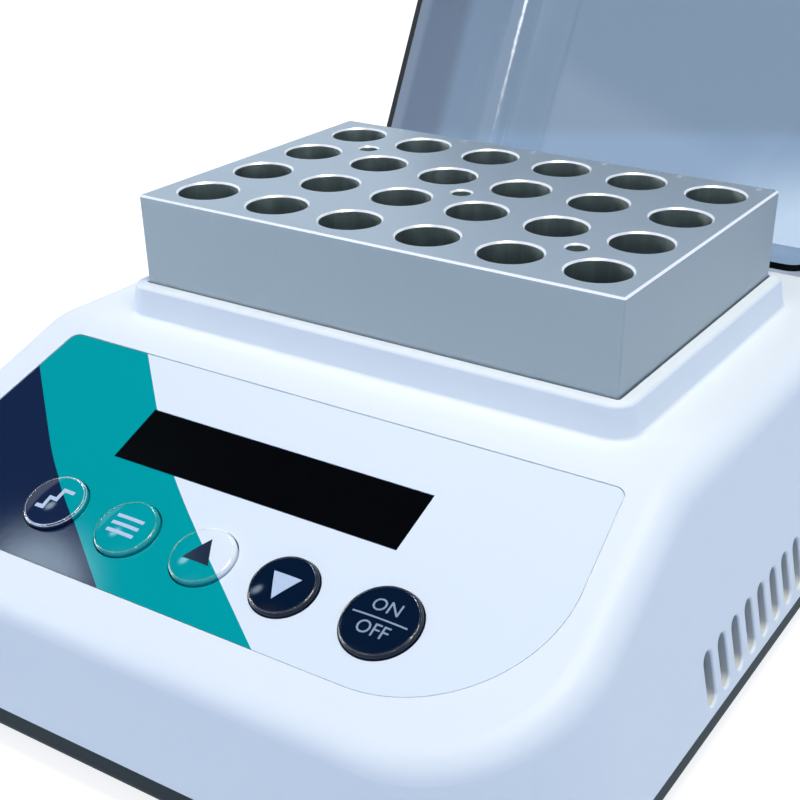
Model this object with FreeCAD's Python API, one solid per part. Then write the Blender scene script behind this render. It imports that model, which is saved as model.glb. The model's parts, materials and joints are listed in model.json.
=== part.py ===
import FreeCAD, Part
import math
import os

# Dry block heater: a moulded housing with a sloping control panel, a removable 24-well
# aluminium block on a heated plate, and a smoked lid hinged at the rear.
# Millimetres, +Z up, +X to the user's right, -Y towards the user.
# Origin: on the bench, under the middle of the bounding box of the stored pose (lid open).

os.makedirs("parts", exist_ok=True)
V = FreeCAD.Vector
X_AXIS = V(1, 0, 0)
Y_AXIS = V(0, 1, 0)
Z_AXIS = V(0, 0, 1)

# ---------------------------------------------------------------- driving dimensions

# Block: 6 x 4 wells in the common 110 x 74 mm format
WELL_COLUMNS = 6
WELL_ROWS = 4
WELL_PITCH = 18.0
WELL_R = 6.2
WELL_DEPTH = 33.0
WELL_CHAMFER = 0.4
BLOCK_MARGIN = 10.0  # outer well centres to the block's sides
BLOCK_HEIGHT = 38.0
BLOCK_PROUD = 18.6  # block above the collar
BLOCK_EDGE_CHAMFER = 0.4
BLOCK_SIDE_CHAMFER = 0.3
LIFT_HOLE_R = 2.1
LIFT_HOLE_DEPTH = 16.0
PROBE_HOLE_DEPTH = 30.0
SMALL_HOLE_CHAMFER = 0.35
BLOCK_GAP = 0.4  # block to the collar and the liner, all round
BLOCK_SEAT_GAP = 0.1

# Heights
FOOT_HEIGHT = 4.0
TRAY_BAND = 5.5  # height of the dark base tray that shows
TOP_Z = 54.0  # flat top of the housing
COLLAR_RISE = 6.4  # raised collar round the block

# Housing form
WALL = 2.5
DRAFT_DEG = 12.5
FRONT_CORNER_R = 34.0  # at the lower edge
REAR_CORNER_R = 24.0
SHOULDER_R = 6.0
CREASE_R = 15.0
FRONT_Y = -127.6  # lower edge of the housing's front
PANEL_RUN = 66.0  # level distance from the front edge to the panel's crease
PANEL_SLOPE_DEG = 21.8

# Collar
RIM = 3.0  # block to the collar's outer edge, at its top
COLLAR_FLARE = 1.3  # the collar's foot stands out this much further
COLLAR_CORNER_R = 4.0
COLLAR_TOP_R = 0.9
COLLAR_FOOT_R = 0.8

# Lid and hinge
LID_WALL = 1.5
LID_DEPTH = 45.0
LID_CORNER_R = 13.0
LID_CROWN_R = 11.0
LID_DRAFT_DEG = 3.0
LID_SIDE_GAP = 3.7  # collar's foot to the inside of the lid
LID_FRONT_GAP = 3.4
LID_REAR_GAP = 12.6
LID_SEAT_GAP = 0.3
LID_OPEN_DEG = 118.1
LID_CREASE_GAP = 1.8  # lid's front to the panel's crease
LID_SHOULDER_GAP = 8.5  # lid's side to the housing's side, at the top
HINGE_BEHIND_LID = 1.5  # axis behind the lid's rear face
HINGE_BELOW_TOP = 0.5
HINGE_TO_REAR = 4.2  # axis to the housing's rear face, at the top
HINGE_SPACING = 70.0
BARREL_R = 2.6
BARREL_LENGTH = 20.0
BARREL_GAP = 0.6
PIN_R = 1.25
PIN_RUN_GAP = 0.05
PIN_SEAT_GAP = 0.02
PIN_GRIP = 3.0  # length of pin held in each cheek
PIN_END_GAP = 0.2
PIN_FREE_END = 0.1
CHEEK_WIDTH = 8.0
CHEEK_BELOW_TOP = 0.5
WEB_RISE = 2.0  # barrel's web above the lid's lower edge

# Side vents
VENT_COUNT = 15
VENT_PITCH = 6.5
VENT_WIDTH = 3.8
VENT_HEIGHT = 10.8
VENT_ABOVE_EDGE = 1.7
VENT_FORWARD = 1.9  # middle of the row ahead of the block's middle
VENT_LIP_R = 0.45

# Front label and what it covers, along the slope from the label's top edge
PANEL_SHIFT_X = 1.0
LABEL_BELOW_CREASE = 4.6
LABEL_SIDE_GAP = 9.5  # label's top corners to the housing's side at the top
LABEL_FLARE = 6.0
LABEL_LENGTH = 52.0
LABEL_TOP_R = 2.2
LABEL_BOTTOM_R = 27.0
LABEL_THICKNESS = 0.4
LABEL_RECESS = 0.5
LABEL_GAP = 0.2
LENS_LENGTH = 64.3
LENS_HEIGHT = 13.0
LENS_SHIFT_X = 0.85
LENS_MID = 19.0
LENS_FLANGE = 2.2
LENS_FLANGE_THICKNESS = 0.8
LENS_GAP = 0.15
WINDOW_LEDGE = 1.4  # what the wall leaves under the lens's flange

# Keys: four equal ones in a row and a larger power key
KEY_LINE = 39.4
KEY_FIRST_X = -34.0
KEY_PITCH = 17.7
KEY_R = 6.2
POWER_KEY_X = 38.7
POWER_KEY_R = 7.1
KEY_GAP = 0.25
KEY_RISE = 0.9
KEY_EDGE_R = 0.7
KEY_CROWN = 0.35
KEY_FLANGE = 1.2
KEY_FLANGE_THICKNESS = 0.8
KEY_REST_GAP = 0.2
KEY_TRAVEL = 0.4
KEY_STEM_R = 2.0
KEY_STEM = 1.0
KEY_STEM_GAP = 0.1  # stem to plunger with the key pressed

# Tactile switches and the boards behind the panel
SWITCH_SIDE = 6.0
SWITCH_BODY = 3.4
SWITCH_PLUNGER_R = 1.7
SWITCH_PLUNGER = 0.9
BOARD = 1.6
KEY_BOARD_LENGTH = 106.0
KEY_BOARD_WIDTH = 12.4
KEY_BOARD_SHIFT_X = 2.3
KEY_SCREW_INSET = 4.0
VIEW_END_GAP = 0.1  # lens to the ends of the metal frame's opening
VIEW_EDGE_GAP = 0.5  # lens to its long edges
BEZEL_END = 3.35  # frame beyond the ends of its opening
BEZEL_EDGE = 5.1  # frame beyond its long edges
BEZEL_HEIGHT = 6.8
BEZEL_SHEET = 0.5
BEZEL_GAP = 0.1  # frame to the inside of the panel
GLASS_GAP = 0.2
BOARD_POST_R = 2.6
DISPLAY_POST_GAP = 1.3  # frame to the posts
DISPLAY_BOARD_END = 2.5  # board beyond the posts' middles
DISPLAY_BOARD_EDGE = 1.4  # board beyond the frame's long edges
DISPLAY_HOLE_INSET = 5.0
BOARD_CORNER_R = 1.5
PILOT_DEPTH = 5.0
PILOT_SHORT = 0.4  # key posts' pilot holes stop this far inside the panel

# Screws
SMALL_SCREW_R = 1.1
SMALL_HEAD_R = 2.1
SMALL_HEAD = 1.4
SCREW_R = 1.45
HEAD_R = 2.9
HEAD = 2.0
SCREW_GAP = 0.1
HEAD_GAP = 0.4
THREAD_BITE = 6.0
BOARD_SCREW_BITE = 4.0
PILOT_SPARE = 2.0  # pilot hole beyond the screw's tip
DRILL_TIP_DEG = 31.0
DRIVE_R = 1.1
DRIVE_DEPTH = 0.9

# Base tray and feet
TRAY_FLOOR = 2.0
TRAY_EDGE_R = 2.4
TRAY_LIP = 1.0
TRAY_LIP_THICKNESS = 1.4
TRAY_LIP_GAP = 0.25
TRAY_VENT_COUNT = 9
TRAY_VENT_PITCH = 7.0
TRAY_VENT_WIDTH = 3.0
TRAY_VENT_LENGTH = 26.0
PEDESTAL_R = 5.2
PEDESTAL_RISE = 6.0
CASE_BOSS_R = 4.0
CASE_BOSS_INSET = 13.5
CASE_BOSS_BEHIND_CORNER = 3.0
CASE_BOSS_TO_REAR = 17.5
POST_ROOT = 0.5  # how deep the posts start in the tray's floor
FOOT_PAD = 2.0  # thicker floor round each foot
FOOT_R = 6.5
FOOT_TOP_R = 5.8
FOOT_RECESS = 1.0
FOOT_RECESS_GAP = 0.3
FOOT_EDGE_R = 0.8
FOOT_INSET_X = 25.0
FOOT_INSET_Y = 24.0

# Heater stack under the block
PLATE_THICKNESS = 6.0
PLATE_INSET = 1.0
PLATE_CORNER_R = 2.0
MAT_THICKNESS = 1.5
MAT_INSET = 4.0
MAT_CORNER_R = 4.0
LINER = 0.8
LINER_FLANGE = 4.0
INSULATION_SIDE = 5.0
INSULATION_REAR = 3.0
INSULATION_FLOOR = 10.0
INSULATION_CORNER_R = 3.0
HOLDER = 1.0
HOLDER_BOSS_R = 3.5
HOLDER_BOSS_FROM_LINER = 10.8
HOLDER_BOSS_SPREAD = 56.0
HOLDER_EAR_LAP = 4.0
PROBE_R = 1.5
PROBE_LENGTH = 36.0
PROBE_DEPTH = 30.0
PROBE_GAP = 0.05
PROBE_PASSAGE_GAP = 1.0
PROBE_SHORT = 0.5  # probe's tip to the bottom of its bore
SLEEVE_WALL = 0.5
SLEEVE_LENGTH = 6.0
CUTOUT_R = 8.0
CUTOUT_HEIGHT = 5.0
CUTOUT_FLANGE_R = 10.0
CUTOUT_FLANGE = 1.0
CUTOUT_GAP = 1.5
CUTOUT_TAB_LENGTH = 7.0
CUTOUT_TAB_SPACING = 8.0
CUTOUT_TAB_WIDTH = 6.0
CUTOUT_TAB = 0.8

# Boards on the base tray
POST_R = 3.0
POST_RISE = 6.0
POST_INSET = 4.0
POWER_BOARD_LENGTH = 68.0
MAIN_BOARD_LENGTH = 48.0
LOW_BOARD_WIDTH = 46.0
LOW_BOARD_FRONT = 17.0  # from the housing's front edge
LOW_BOARD_SPACING = 6.0
PART_FROM_EDGE = 7.5
CORE_LENGTH = 28.0
CORE_WIDTH = 14.0
CORE_HEIGHT = 13.0
COIL_LENGTH = 16.0
COIL_WIDTH = 26.0
COIL_HEIGHT = 10.0
COIL_CORNER_R = 2.0
SINK_LENGTH = 22.0
SINK_WIDTH = 13.0
SINK_HEIGHT = 12.0
SINK_BASE = 2.5
SINK_FINS = 6
SINK_FIN = 1.2
CAPACITOR_R = 5.0
CAPACITOR_HEIGHT = 9.0
SMALL_CAPACITOR_R = 4.0
SMALL_CAPACITOR_HEIGHT = 7.0
RELAY_LENGTH = 14.0
RELAY_WIDTH = 10.0
RELAY_HEIGHT = 8.5
TERMINAL_LENGTH = 10.0
TERMINAL_WIDTH = 8.0
TERMINAL_HEIGHT = 7.0
PART_SPACING = 3.0
BUZZER_R = 6.0
BUZZER_HEIGHT = 7.0
CHIP_SIDE = 12.0
CHIP_HEIGHT = 1.4
CONNECTOR_LENGTH = 24.0
CONNECTOR_WIDTH = 5.0
CONNECTOR_HEIGHT = 6.0

# Rear pocket with the mains inlet and the switch
POCKET_ABOVE_EDGE = 4.0
POCKET_HEIGHT = 29.5
POCKET_LEAST_DEPTH = 1.0
POCKET_CORNER_R = 3.0
POCKET_MARGIN = 1.5
POCKET_BESIDE_SWITCH = 3.5
INLET_X = 22.0
INLET_FLANGE_WIDTH = 50.0
INLET_FLANGE_HEIGHT = 27.0
INLET_FLANGE = 2.4
INLET_FLANGE_R = 4.0
INLET_SCREW_LENGTH = 5.0
INLET_SCREW_SPACING = 40.0
INLET_BODY_WIDTH = 28.0
INLET_BODY_HEIGHT = 25.6
INLET_BODY_DEPTH = 17.0
SOCKET_WIDTH = 24.4
SOCKET_HEIGHT = 13.6
SOCKET_DEPTH = 16.0
SOCKET_CHAMFER = 4.0
SOCKET_FLOOR_RIM = 1.4
BLADE_WIDTH = 2.0
BLADE_HEIGHT = 3.0
BLADE_SPACING = 14.0
BLADE_OFFSET = 3.0
BLADE_SHORT_OF_FACE = 3.0
BLADE_TAIL = 3.0
DRAWER_WIDTH = 22.0
DRAWER_HEIGHT = 7.0
DRAWER_DEPTH = 15.0
DRAWER_FACE = 1.6
DRAWER_FACE_RIM = 1.0
DRAWER_GAP = 0.3
DRAWER_FACE_GAP = 0.1
GRIP_R = 1.6
GRIP_LENGTH = 8.0
GRIP_PROUD = 0.6  # axis of the finger notch in front of the drawer's face
FUSE_R = 2.6
FUSE_LENGTH = 20.0
FUSE_CAP = 5.0
FUSE_CAP_WALL = 0.3
FUSE_BEHIND = 2.0  # fuse to the drawer's inner end
FUSE_GAP = 0.15
SWITCH_X = -30.0
ROCKER_WIDTH = 10.6
ROCKER_HEIGHT = 16.4
ROCKER_DEPTH = 6.0
ROCKER_TILT_DEG = 10.0
ROCKER_PIVOT_R = 1.2
ROCKER_PIVOT_LENGTH = 1.0
ROCKER_GAP = 0.4
ROCKER_PROUD = 1.0
ROCKER_CHAMFER = 2.0
ROCKER_DISH = 0.3
ROCKER_ROOM = 3.5  # free depth behind the rocker
ROCKER_END_GAP = 0.1
BEZEL_RIM = 1.8
BEZEL_PROUD = 1.6
SWITCH_BODY_DEPTH = 13.0
SWITCH_BODY_WALL = 1.2
SWITCH_RIM_LAP = 1.0
SWITCH_CORNER_R = 1.5
SNAP_GAP = 0.2

OVER = 1.0  # how far a cutting shape passes the face that it cuts
ARC_SHORT = 0.01  # the ends of a slot stop this much short of a full half circle
NEAR = 1e-4  # edges within this of a level count as lying on it

# ---------------------------------------------------------------- worked-out places

draft = math.tan(math.radians(DRAFT_DEG))
draft_cos = math.cos(math.radians(DRAFT_DEG))
slope = math.radians(PANEL_SLOPE_DEG)

block_half_x = (WELL_COLUMNS - 1) * WELL_PITCH / 2 + BLOCK_MARGIN
block_half_y = (WELL_ROWS - 1) * WELL_PITCH / 2 + BLOCK_MARGIN
collar_half_x = block_half_x + RIM
collar_half_y = block_half_y + RIM
foot_half_x = collar_half_x + COLLAR_FLARE
foot_half_y = collar_half_y + COLLAR_FLARE

edge_z = FOOT_HEIGHT + TRAY_BAND  # lower edge of the housing
collar_z = TOP_Z + COLLAR_RISE
block_top_z = collar_z + BLOCK_PROUD
block_z = block_top_z - BLOCK_HEIGHT
ceiling_z = TOP_Z - WALL
top_inset = (TOP_Z - edge_z) * draft

crease_y = FRONT_Y + PANEL_RUN
lid_front_y = crease_y + LID_CREASE_GAP
block_y = lid_front_y + LID_WALL + LID_FRONT_GAP + foot_half_y
lid_rear_y = block_y + foot_half_y + LID_REAR_GAP + LID_WALL
hinge_y = lid_rear_y + HINGE_BEHIND_LID
hinge_z = TOP_Z - HINGE_BELOW_TOP
rear_y = hinge_y + HINGE_TO_REAR + top_inset

lid_half_x = foot_half_x + LID_SIDE_GAP + LID_WALL
half_width = lid_half_x + LID_SHOULDER_GAP + top_inset

floor_z = FOOT_HEIGHT + TRAY_FLOOR
pedestal_z = floor_z + PEDESTAL_RISE

plate_top_z = block_z - BLOCK_SEAT_GAP
plate_z = plate_top_z - PLATE_THICKNESS
mat_z = plate_z - MAT_THICKNESS
insulation_z = mat_z - INSULATION_FLOOR
holder_z = insulation_z - HOLDER
liner_half_x = block_half_x + BLOCK_GAP + LINER
liner_half_y = block_half_y + BLOCK_GAP + LINER
insulation_half_x = liner_half_x + INSULATION_SIDE
insulation_front_y = block_y - liner_half_y - INSULATION_SIDE
insulation_rear_y = block_y + liner_half_y + INSULATION_REAR

case_screws = [
    (side * (half_width - CASE_BOSS_INSET), y)
    for side in (-1, 1)
    for y in (FRONT_Y + FRONT_CORNER_R + CASE_BOSS_BEHIND_CORNER, rear_y - CASE_BOSS_TO_REAR)
]
holder_screws = [
    (side * (liner_half_x + HOLDER_BOSS_FROM_LINER), block_y + end * HOLDER_BOSS_SPREAD / 2)
    for side in (-1, 1)
    for end in (-1, 1)
]
foot_places = [
    (side * (half_width - FOOT_INSET_X), y)
    for side in (-1, 1)
    for y in (FRONT_Y + FOOT_INSET_Y, rear_y - FOOT_INSET_Y)
]
hinge_places = [-HINGE_SPACING / 2, HINGE_SPACING / 2]

pocket_z0 = edge_z + POCKET_ABOVE_EDGE
pocket_z1 = pocket_z0 + POCKET_HEIGHT
pocket_y = rear_y - (pocket_z1 - edge_z) * draft - POCKET_LEAST_DEPTH
inlet_z = (pocket_z0 + pocket_z1) / 2
pocket_x0 = SWITCH_X - ROCKER_WIDTH / 2 - ROCKER_GAP - BEZEL_RIM - POCKET_BESIDE_SWITCH
pocket_x1 = INLET_X + INLET_FLANGE_WIDTH / 2 + POCKET_MARGIN
socket_z = inlet_z - INLET_BODY_HEIGHT / 2 + SOCKET_FLOOR_RIM + SOCKET_HEIGHT / 2
drawer_z = inlet_z + INLET_BODY_HEIGHT / 2 - SOCKET_FLOOR_RIM - DRAWER_GAP - DRAWER_HEIGHT / 2
inlet_face_y = pocket_y + INLET_FLANGE
switch_face_y = pocket_y + BEZEL_PROUD

label_half_top = lid_half_x + LID_SHOULDER_GAP - LABEL_SIDE_GAP
label_half_bottom = label_half_top + LABEL_FLARE

# The panel's own frame: x along the panel, y up the slope, z out of it; its origin is the
# middle of the label's top edge, on the surface of the housing.
PANEL = FreeCAD.Placement(
    V(
        PANEL_SHIFT_X,
        crease_y - LABEL_BELOW_CREASE * math.cos(slope),
        TOP_Z - LABEL_BELOW_CREASE * math.sin(slope),
    ),
    FreeCAD.Rotation(X_AXIS, PANEL_SLOPE_DEG),
)
recess_w = -LABEL_RECESS
lens_w = recess_w - LENS_FLANGE_THICKNESS
inside_w = -WALL
key_flange_w = inside_w - KEY_REST_GAP - KEY_FLANGE_THICKNESS
stem_w = key_flange_w - KEY_STEM
switch_top_w = stem_w - KEY_TRAVEL - KEY_STEM_GAP
key_board_w = switch_top_w - SWITCH_PLUNGER - SWITCH_BODY
bezel_w = inside_w - BEZEL_GAP
display_board_w = bezel_w - BEZEL_HEIGHT
display_y = -LENS_MID

view_length = LENS_LENGTH + 2 * VIEW_END_GAP
view_width = LENS_HEIGHT + 2 * VIEW_EDGE_GAP
bezel_length = view_length + 2 * BEZEL_END
bezel_width = view_width + 2 * BEZEL_EDGE
display_post_x = bezel_length / 2 + BOARD_POST_R + DISPLAY_POST_GAP
display_board_length = 2 * (display_post_x + DISPLAY_BOARD_END)
display_board_width = bezel_width + 2 * DISPLAY_BOARD_EDGE

keys = {
    "key_program": (KEY_FIRST_X, KEY_R),
    "key_menu": (KEY_FIRST_X + KEY_PITCH, KEY_R),
    "key_up": (KEY_FIRST_X + 2 * KEY_PITCH, KEY_R),
    "key_down": (KEY_FIRST_X + 3 * KEY_PITCH, KEY_R),
    "key_power": (POWER_KEY_X, POWER_KEY_R),
}

low_board_z = floor_z + POST_RISE
low_board_y0 = FRONT_Y + LOW_BOARD_FRONT
low_board_y1 = low_board_y0 + LOW_BOARD_WIDTH
power_board_x0 = -(POWER_BOARD_LENGTH + MAIN_BOARD_LENGTH + LOW_BOARD_SPACING) / 2
power_board_x1 = power_board_x0 + POWER_BOARD_LENGTH
main_board_x0 = power_board_x1 + LOW_BOARD_SPACING
main_board_x1 = main_board_x0 + MAIN_BOARD_LENGTH
board_posts = [
    (x, y)
    for x0, x1 in ((power_board_x0, power_board_x1), (main_board_x0, main_board_x1))
    for x in (x0 + POST_INSET, x1 - POST_INSET)
    for y in (low_board_y0 + POST_INSET, low_board_y1 - POST_INSET)
]
display_posts = [
    (
        LENS_SHIFT_X + sx * display_post_x,
        display_y + sy * (display_board_width / 2 - DISPLAY_HOLE_INSET),
    )
    for sx in (-1, 1)
    for sy in (-1, 1)
]
key_posts = [
    (KEY_BOARD_SHIFT_X + sx * (KEY_BOARD_LENGTH / 2 - KEY_SCREW_INSET), -KEY_LINE)
    for sx in (-1, 1)
]


# ---------------------------------------------------------------- shared shapes


def box(x0, x1, y0, y1, z0, z1):
    """A box between two corners."""
    return Part.makeBox(x1 - x0, y1 - y0, z1 - z0, V(x0, y0, z0))


def rod(radius, x, y, z0, z1):
    """An upright cylinder."""
    return Part.makeCylinder(radius, z1 - z0, V(x, y, z0), Z_AXIS)


def bar(radius, x0, x1, y, z):
    """A cylinder along X."""
    return Part.makeCylinder(radius, x1 - x0, V(x0, y, z), X_AXIS)


def lance(radius, x, y0, y1, z):
    """A cylinder along Y."""
    return Part.makeCylinder(radius, y1 - y0, V(x, y0, z), Y_AXIS)


def rounded_wire(corners, radii, z):
    """A closed wire at height z through the corners, each rounded to its own radius."""
    count = len(corners)
    ends = []
    for i, (corner, radius) in enumerate(zip(corners, radii)):
        here = V(corner[0], corner[1], z)
        before = V(corners[i - 1][0], corners[i - 1][1], z) - here
        after = V(corners[(i + 1) % count][0], corners[(i + 1) % count][1], z) - here
        before.normalize()
        after.normalize()
        half = before.getAngle(after) / 2
        reach = radius / math.tan(half)
        middle = before + after
        middle.normalize()
        centre = here + middle * (radius / math.sin(half))
        ends.append((here + before * reach, centre - middle * radius, here + after * reach))
    edges = []
    for i in range(count):
        start, through, end = ends[i]
        edges.append(Part.Arc(start, through, end).toShape())
        edges.append(Part.LineSegment(end, ends[(i + 1) % count][0]).toShape())
    return Part.Wire(edges)


def rectangle(half_x, y0, y1, front_r, rear_r, z):
    """A rounded rectangle about the centre plane, with its own front and rear corner radii."""
    corners = [(-half_x, y0), (half_x, y0), (half_x, y1), (-half_x, y1)]
    return rounded_wire(corners, [front_r, front_r, rear_r, rear_r], z)


def slab(x0, x1, y0, y1, z0, z1, radius):
    """A rounded rectangular plate."""
    corners = [(x0, y0), (x1, y0), (x1, y1), (x0, y1)]
    wire = rounded_wire(corners, [radius] * 4, z0)
    return Part.Face(wire).extrude(V(0, 0, z1 - z0))


def upright_slab(x0, x1, z0, z1, y0, y1, radius):
    """A rounded rectangular plate that stands across Y."""
    shape = slab(x0, x1, -z1, -z0, 0, y1 - y0, radius)
    shape.Placement = FreeCAD.Placement(V(0, y0, 0), FreeCAD.Rotation(X_AXIS, -90))
    return shape


def joined(first, others):
    """One shape from several."""
    others = list(others)
    return first.fuse(others).removeSplitter() if others else first


def cut(shape, tools):
    """A shape less several tools."""
    tools = list(tools)
    return shape.cut(tools) if tools else shape


def on_panel(shape):
    """Move a shape drawn in the panel's frame to its place on the panel."""
    shape.Placement = PANEL.multiply(shape.Placement)
    return shape


def screw(x, y, top_z, length, shank_r, head_r, head, upwards=False):
    """A pan-head screw with a hexagon recess, its head's bearing face at top_z."""
    shank = Part.makeCylinder(shank_r, length, V(0, 0, -length))
    body = shank.fuse(Part.makeCylinder(head_r, head)).removeSplitter()
    rim = [e for e in body.Edges if abs(e.BoundBox.ZMin - head) < NEAR and e.Closed]
    body = body.makeFillet(head * 0.35, rim)
    points = [
        V(
            DRIVE_R * math.cos(math.radians(60 * i)),
            DRIVE_R * math.sin(math.radians(60 * i)),
            head - DRIVE_DEPTH,
        )
        for i in range(7)
    ]
    drive = Part.Face(Part.makePolygon(points)).extrude(V(0, 0, 2 * DRIVE_DEPTH))
    body = body.cut(drive)
    turn = FreeCAD.Rotation(X_AXIS, 180 if upwards else 0)
    body.Placement = FreeCAD.Placement(V(x, y, top_z), turn)
    return body


# ---------------------------------------------------------------- housing


def body_form(inset):
    """The housing's form, drawn in by an even inset: drafted sides, sloping panel, soft shoulder."""
    side = inset / draft_cos

    def outline(z):
        shift = (z - edge_z) * draft + side
        return rectangle(
            half_width - shift,
            FRONT_Y + shift,
            rear_y - shift,
            FRONT_CORNER_R - shift,
            REAR_CORNER_R - shift,
            z,
        )

    low = edge_z if inset == 0 else edge_z - OVER
    form = Part.makeLoft([outline(low), outline(TOP_Z - inset)], True, True)
    reach = PANEL_RUN + WALL
    above = Part.makeBox(4 * half_width, 3 * reach, TOP_Z, V(-2 * half_width, -2 * reach, 0))
    above.Placement = FreeCAD.Placement(
        V(0, crease_y + inset * math.sin(slope), TOP_Z - inset * math.cos(slope)),
        FreeCAD.Rotation(X_AXIS, PANEL_SLOPE_DEG),
    )
    form = form.cut(above)
    crease = [
        e
        for e in form.Edges
        if e.BoundBox.YLength < NEAR and e.BoundBox.ZLength < NEAR
        and abs(e.BoundBox.ZMax - (TOP_Z - inset)) < NEAR
        and abs(e.BoundBox.YMin - crease_y) < WALL
    ]
    form = form.makeFillet(CREASE_R - inset, crease)
    shoulder = [
        e
        for e in form.Edges
        if e.BoundBox.ZMin > edge_z + POCKET_ABOVE_EDGE and not is_crease_side(e)
    ]
    return form.makeFillet(SHOULDER_R - inset, shoulder)


def is_crease_side(edge):
    """True for the two straight lines where the crease's round meets the top and the panel."""
    bounds = edge.BoundBox
    return bounds.YLength < NEAR and abs(bounds.YMin - crease_y) < CREASE_R


def collar_form():
    """The raised collar round the block, a little wider at its foot."""
    wires = []
    for z, flare in ((ceiling_z, COLLAR_FLARE), (TOP_Z, COLLAR_FLARE), (collar_z, 0.0)):
        wires.append(
            rectangle(
                collar_half_x + flare,
                block_y - collar_half_y - flare,
                block_y + collar_half_y + flare,
                COLLAR_CORNER_R + flare,
                COLLAR_CORNER_R + flare,
                z,
            )
        )
    buried = Part.makeLoft(wires[:2], True, True)
    return buried.fuse(Part.makeLoft(wires[1:], True, True)).removeSplitter()


def block_hole(gap, z0, z1):
    """The space of the block plus a gap, between two heights."""
    half_x = block_half_x + gap
    half_y = block_half_y + gap
    return slab(-half_x, half_x, block_y - half_y, block_y + half_y, z0, z1, BLOCK_SIDE_CHAMFER + gap)


def rear_pocket(grow):
    """The upright-floored pocket in the rear wall, grown on every side but its mouth."""
    return upright_slab(
        pocket_x0 - grow,
        pocket_x1 + grow,
        pocket_z0 - grow,
        pocket_z1 + grow,
        pocket_y - grow,
        rear_y + WALL,
        POCKET_CORNER_R + grow,
    )


def hinge_pocket(x, grow):
    """The notch in the housing's rear top edge that a hinge barrel turns in."""
    half = BARREL_LENGTH / 2 + PIN_END_GAP + grow
    front = HINGE_BEHIND_LID + LID_WALL + BARREL_GAP + grow
    return box(
        x - half,
        x + half,
        hinge_y - front,
        rear_y + WALL,
        hinge_z - BARREL_R - BARREL_GAP - grow,
        TOP_Z + WALL,
    )


def vent_slots():
    """Upright round-ended slots through both side walls."""
    low = edge_z + VENT_ABOVE_EDGE
    first = block_y - VENT_FORWARD - (VENT_COUNT - 1) * VENT_PITCH / 2
    wall_x = half_width - (VENT_HEIGHT + VENT_ABOVE_EDGE) * draft
    radius = VENT_WIDTH / 2
    slots = []
    for side in (-1, 1):
        for i in range(VENT_COUNT):
            y = first + i * VENT_PITCH
            corners = [
                (y - radius, low),
                (y + radius, low),
                (y + radius, low + VENT_HEIGHT),
                (y - radius, low + VENT_HEIGHT),
            ]
            profile = rounded_wire(corners, [radius - ARC_SHORT] * 4, 0)
            slot = Part.Face(profile).extrude(V(0, 0, 4 * WALL))
            turn = FreeCAD.Rotation(Y_AXIS, Z_AXIS, X_AXIS, "XYZ")
            x = wall_x - 2 * WALL if side > 0 else -wall_x - 2 * WALL
            slot.Placement = FreeCAD.Placement(V(x, 0, 0), turn)
            slots.append(slot)
    return slots


def vent_lips(shape):
    """The outlines of the vent slots on the outside of the side walls."""
    low = edge_z + VENT_ABOVE_EDGE
    deepest = half_width - (VENT_ABOVE_EDGE + VENT_HEIGHT) * draft - WALL / 2
    return [
        e
        for e in shape.Edges
        if e.BoundBox.ZMin > low - NEAR
        and e.BoundBox.ZMax < low + VENT_HEIGHT + NEAR
        and e.BoundBox.YLength < VENT_WIDTH
        and min(abs(e.BoundBox.XMin), abs(e.BoundBox.XMax)) > deepest
    ]


def label_form(gap, w0, w1):
    """The label's outline grown by a gap, in the panel's frame, between two depths."""
    top = label_half_top + gap
    bottom = label_half_bottom + gap
    corners = [(-bottom, -LABEL_LENGTH - gap), (bottom, -LABEL_LENGTH - gap), (top, gap), (-top, gap)]
    radii = [LABEL_BOTTOM_R + gap, LABEL_BOTTOM_R + gap, LABEL_TOP_R + gap, LABEL_TOP_R + gap]
    return Part.Face(rounded_wire(corners, radii, w0)).extrude(V(0, 0, w1 - w0))


def panel_plate(length, height, w0, w1):
    """A plain plate centred on the display window, in the panel's frame."""
    x = LENS_SHIFT_X
    return box(x - length / 2, x + length / 2, display_y - height / 2, display_y + height / 2, w0, w1)


def panel_posts():
    """Posts under the panel that carry the display board and the key board."""
    posts = []
    for x, y in display_posts:
        posts.append(rod(BOARD_POST_R, x, y, display_board_w, inside_w + WALL / 2))
    for x, y in key_posts:
        posts.append(rod(BOARD_POST_R, x, y, key_board_w, inside_w + WALL / 2))
    return [on_panel(p) for p in posts]


def panel_cuts():
    """The label's recess, the display opening, the key holes and the posts' pilot holes."""
    cuts = [label_form(LABEL_GAP, recess_w, WALL)]
    cuts.append(
        panel_plate(
            LENS_LENGTH + 2 * (LENS_FLANGE + LENS_GAP),
            LENS_HEIGHT + 2 * (LENS_FLANGE + LENS_GAP),
            lens_w,
            WALL,
        )
    )
    cuts.append(
        panel_plate(
            LENS_LENGTH + 2 * (LENS_FLANGE - WINDOW_LEDGE),
            LENS_HEIGHT + 2 * (LENS_FLANGE - WINDOW_LEDGE),
            inside_w - OVER,
            WALL,
        )
    )
    for x, radius in keys.values():
        cuts.append(rod(radius + KEY_GAP, x, -KEY_LINE, inside_w - OVER, WALL))
    for x, y in display_posts:
        cuts.append(rod(SMALL_SCREW_R, x, y, display_board_w - OVER, display_board_w + PILOT_DEPTH))
    for x, y in key_posts:
        cuts.append(rod(SMALL_SCREW_R, x, y, key_board_w - OVER, inside_w - PILOT_SHORT))
    return [on_panel(c) for c in cuts]


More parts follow.
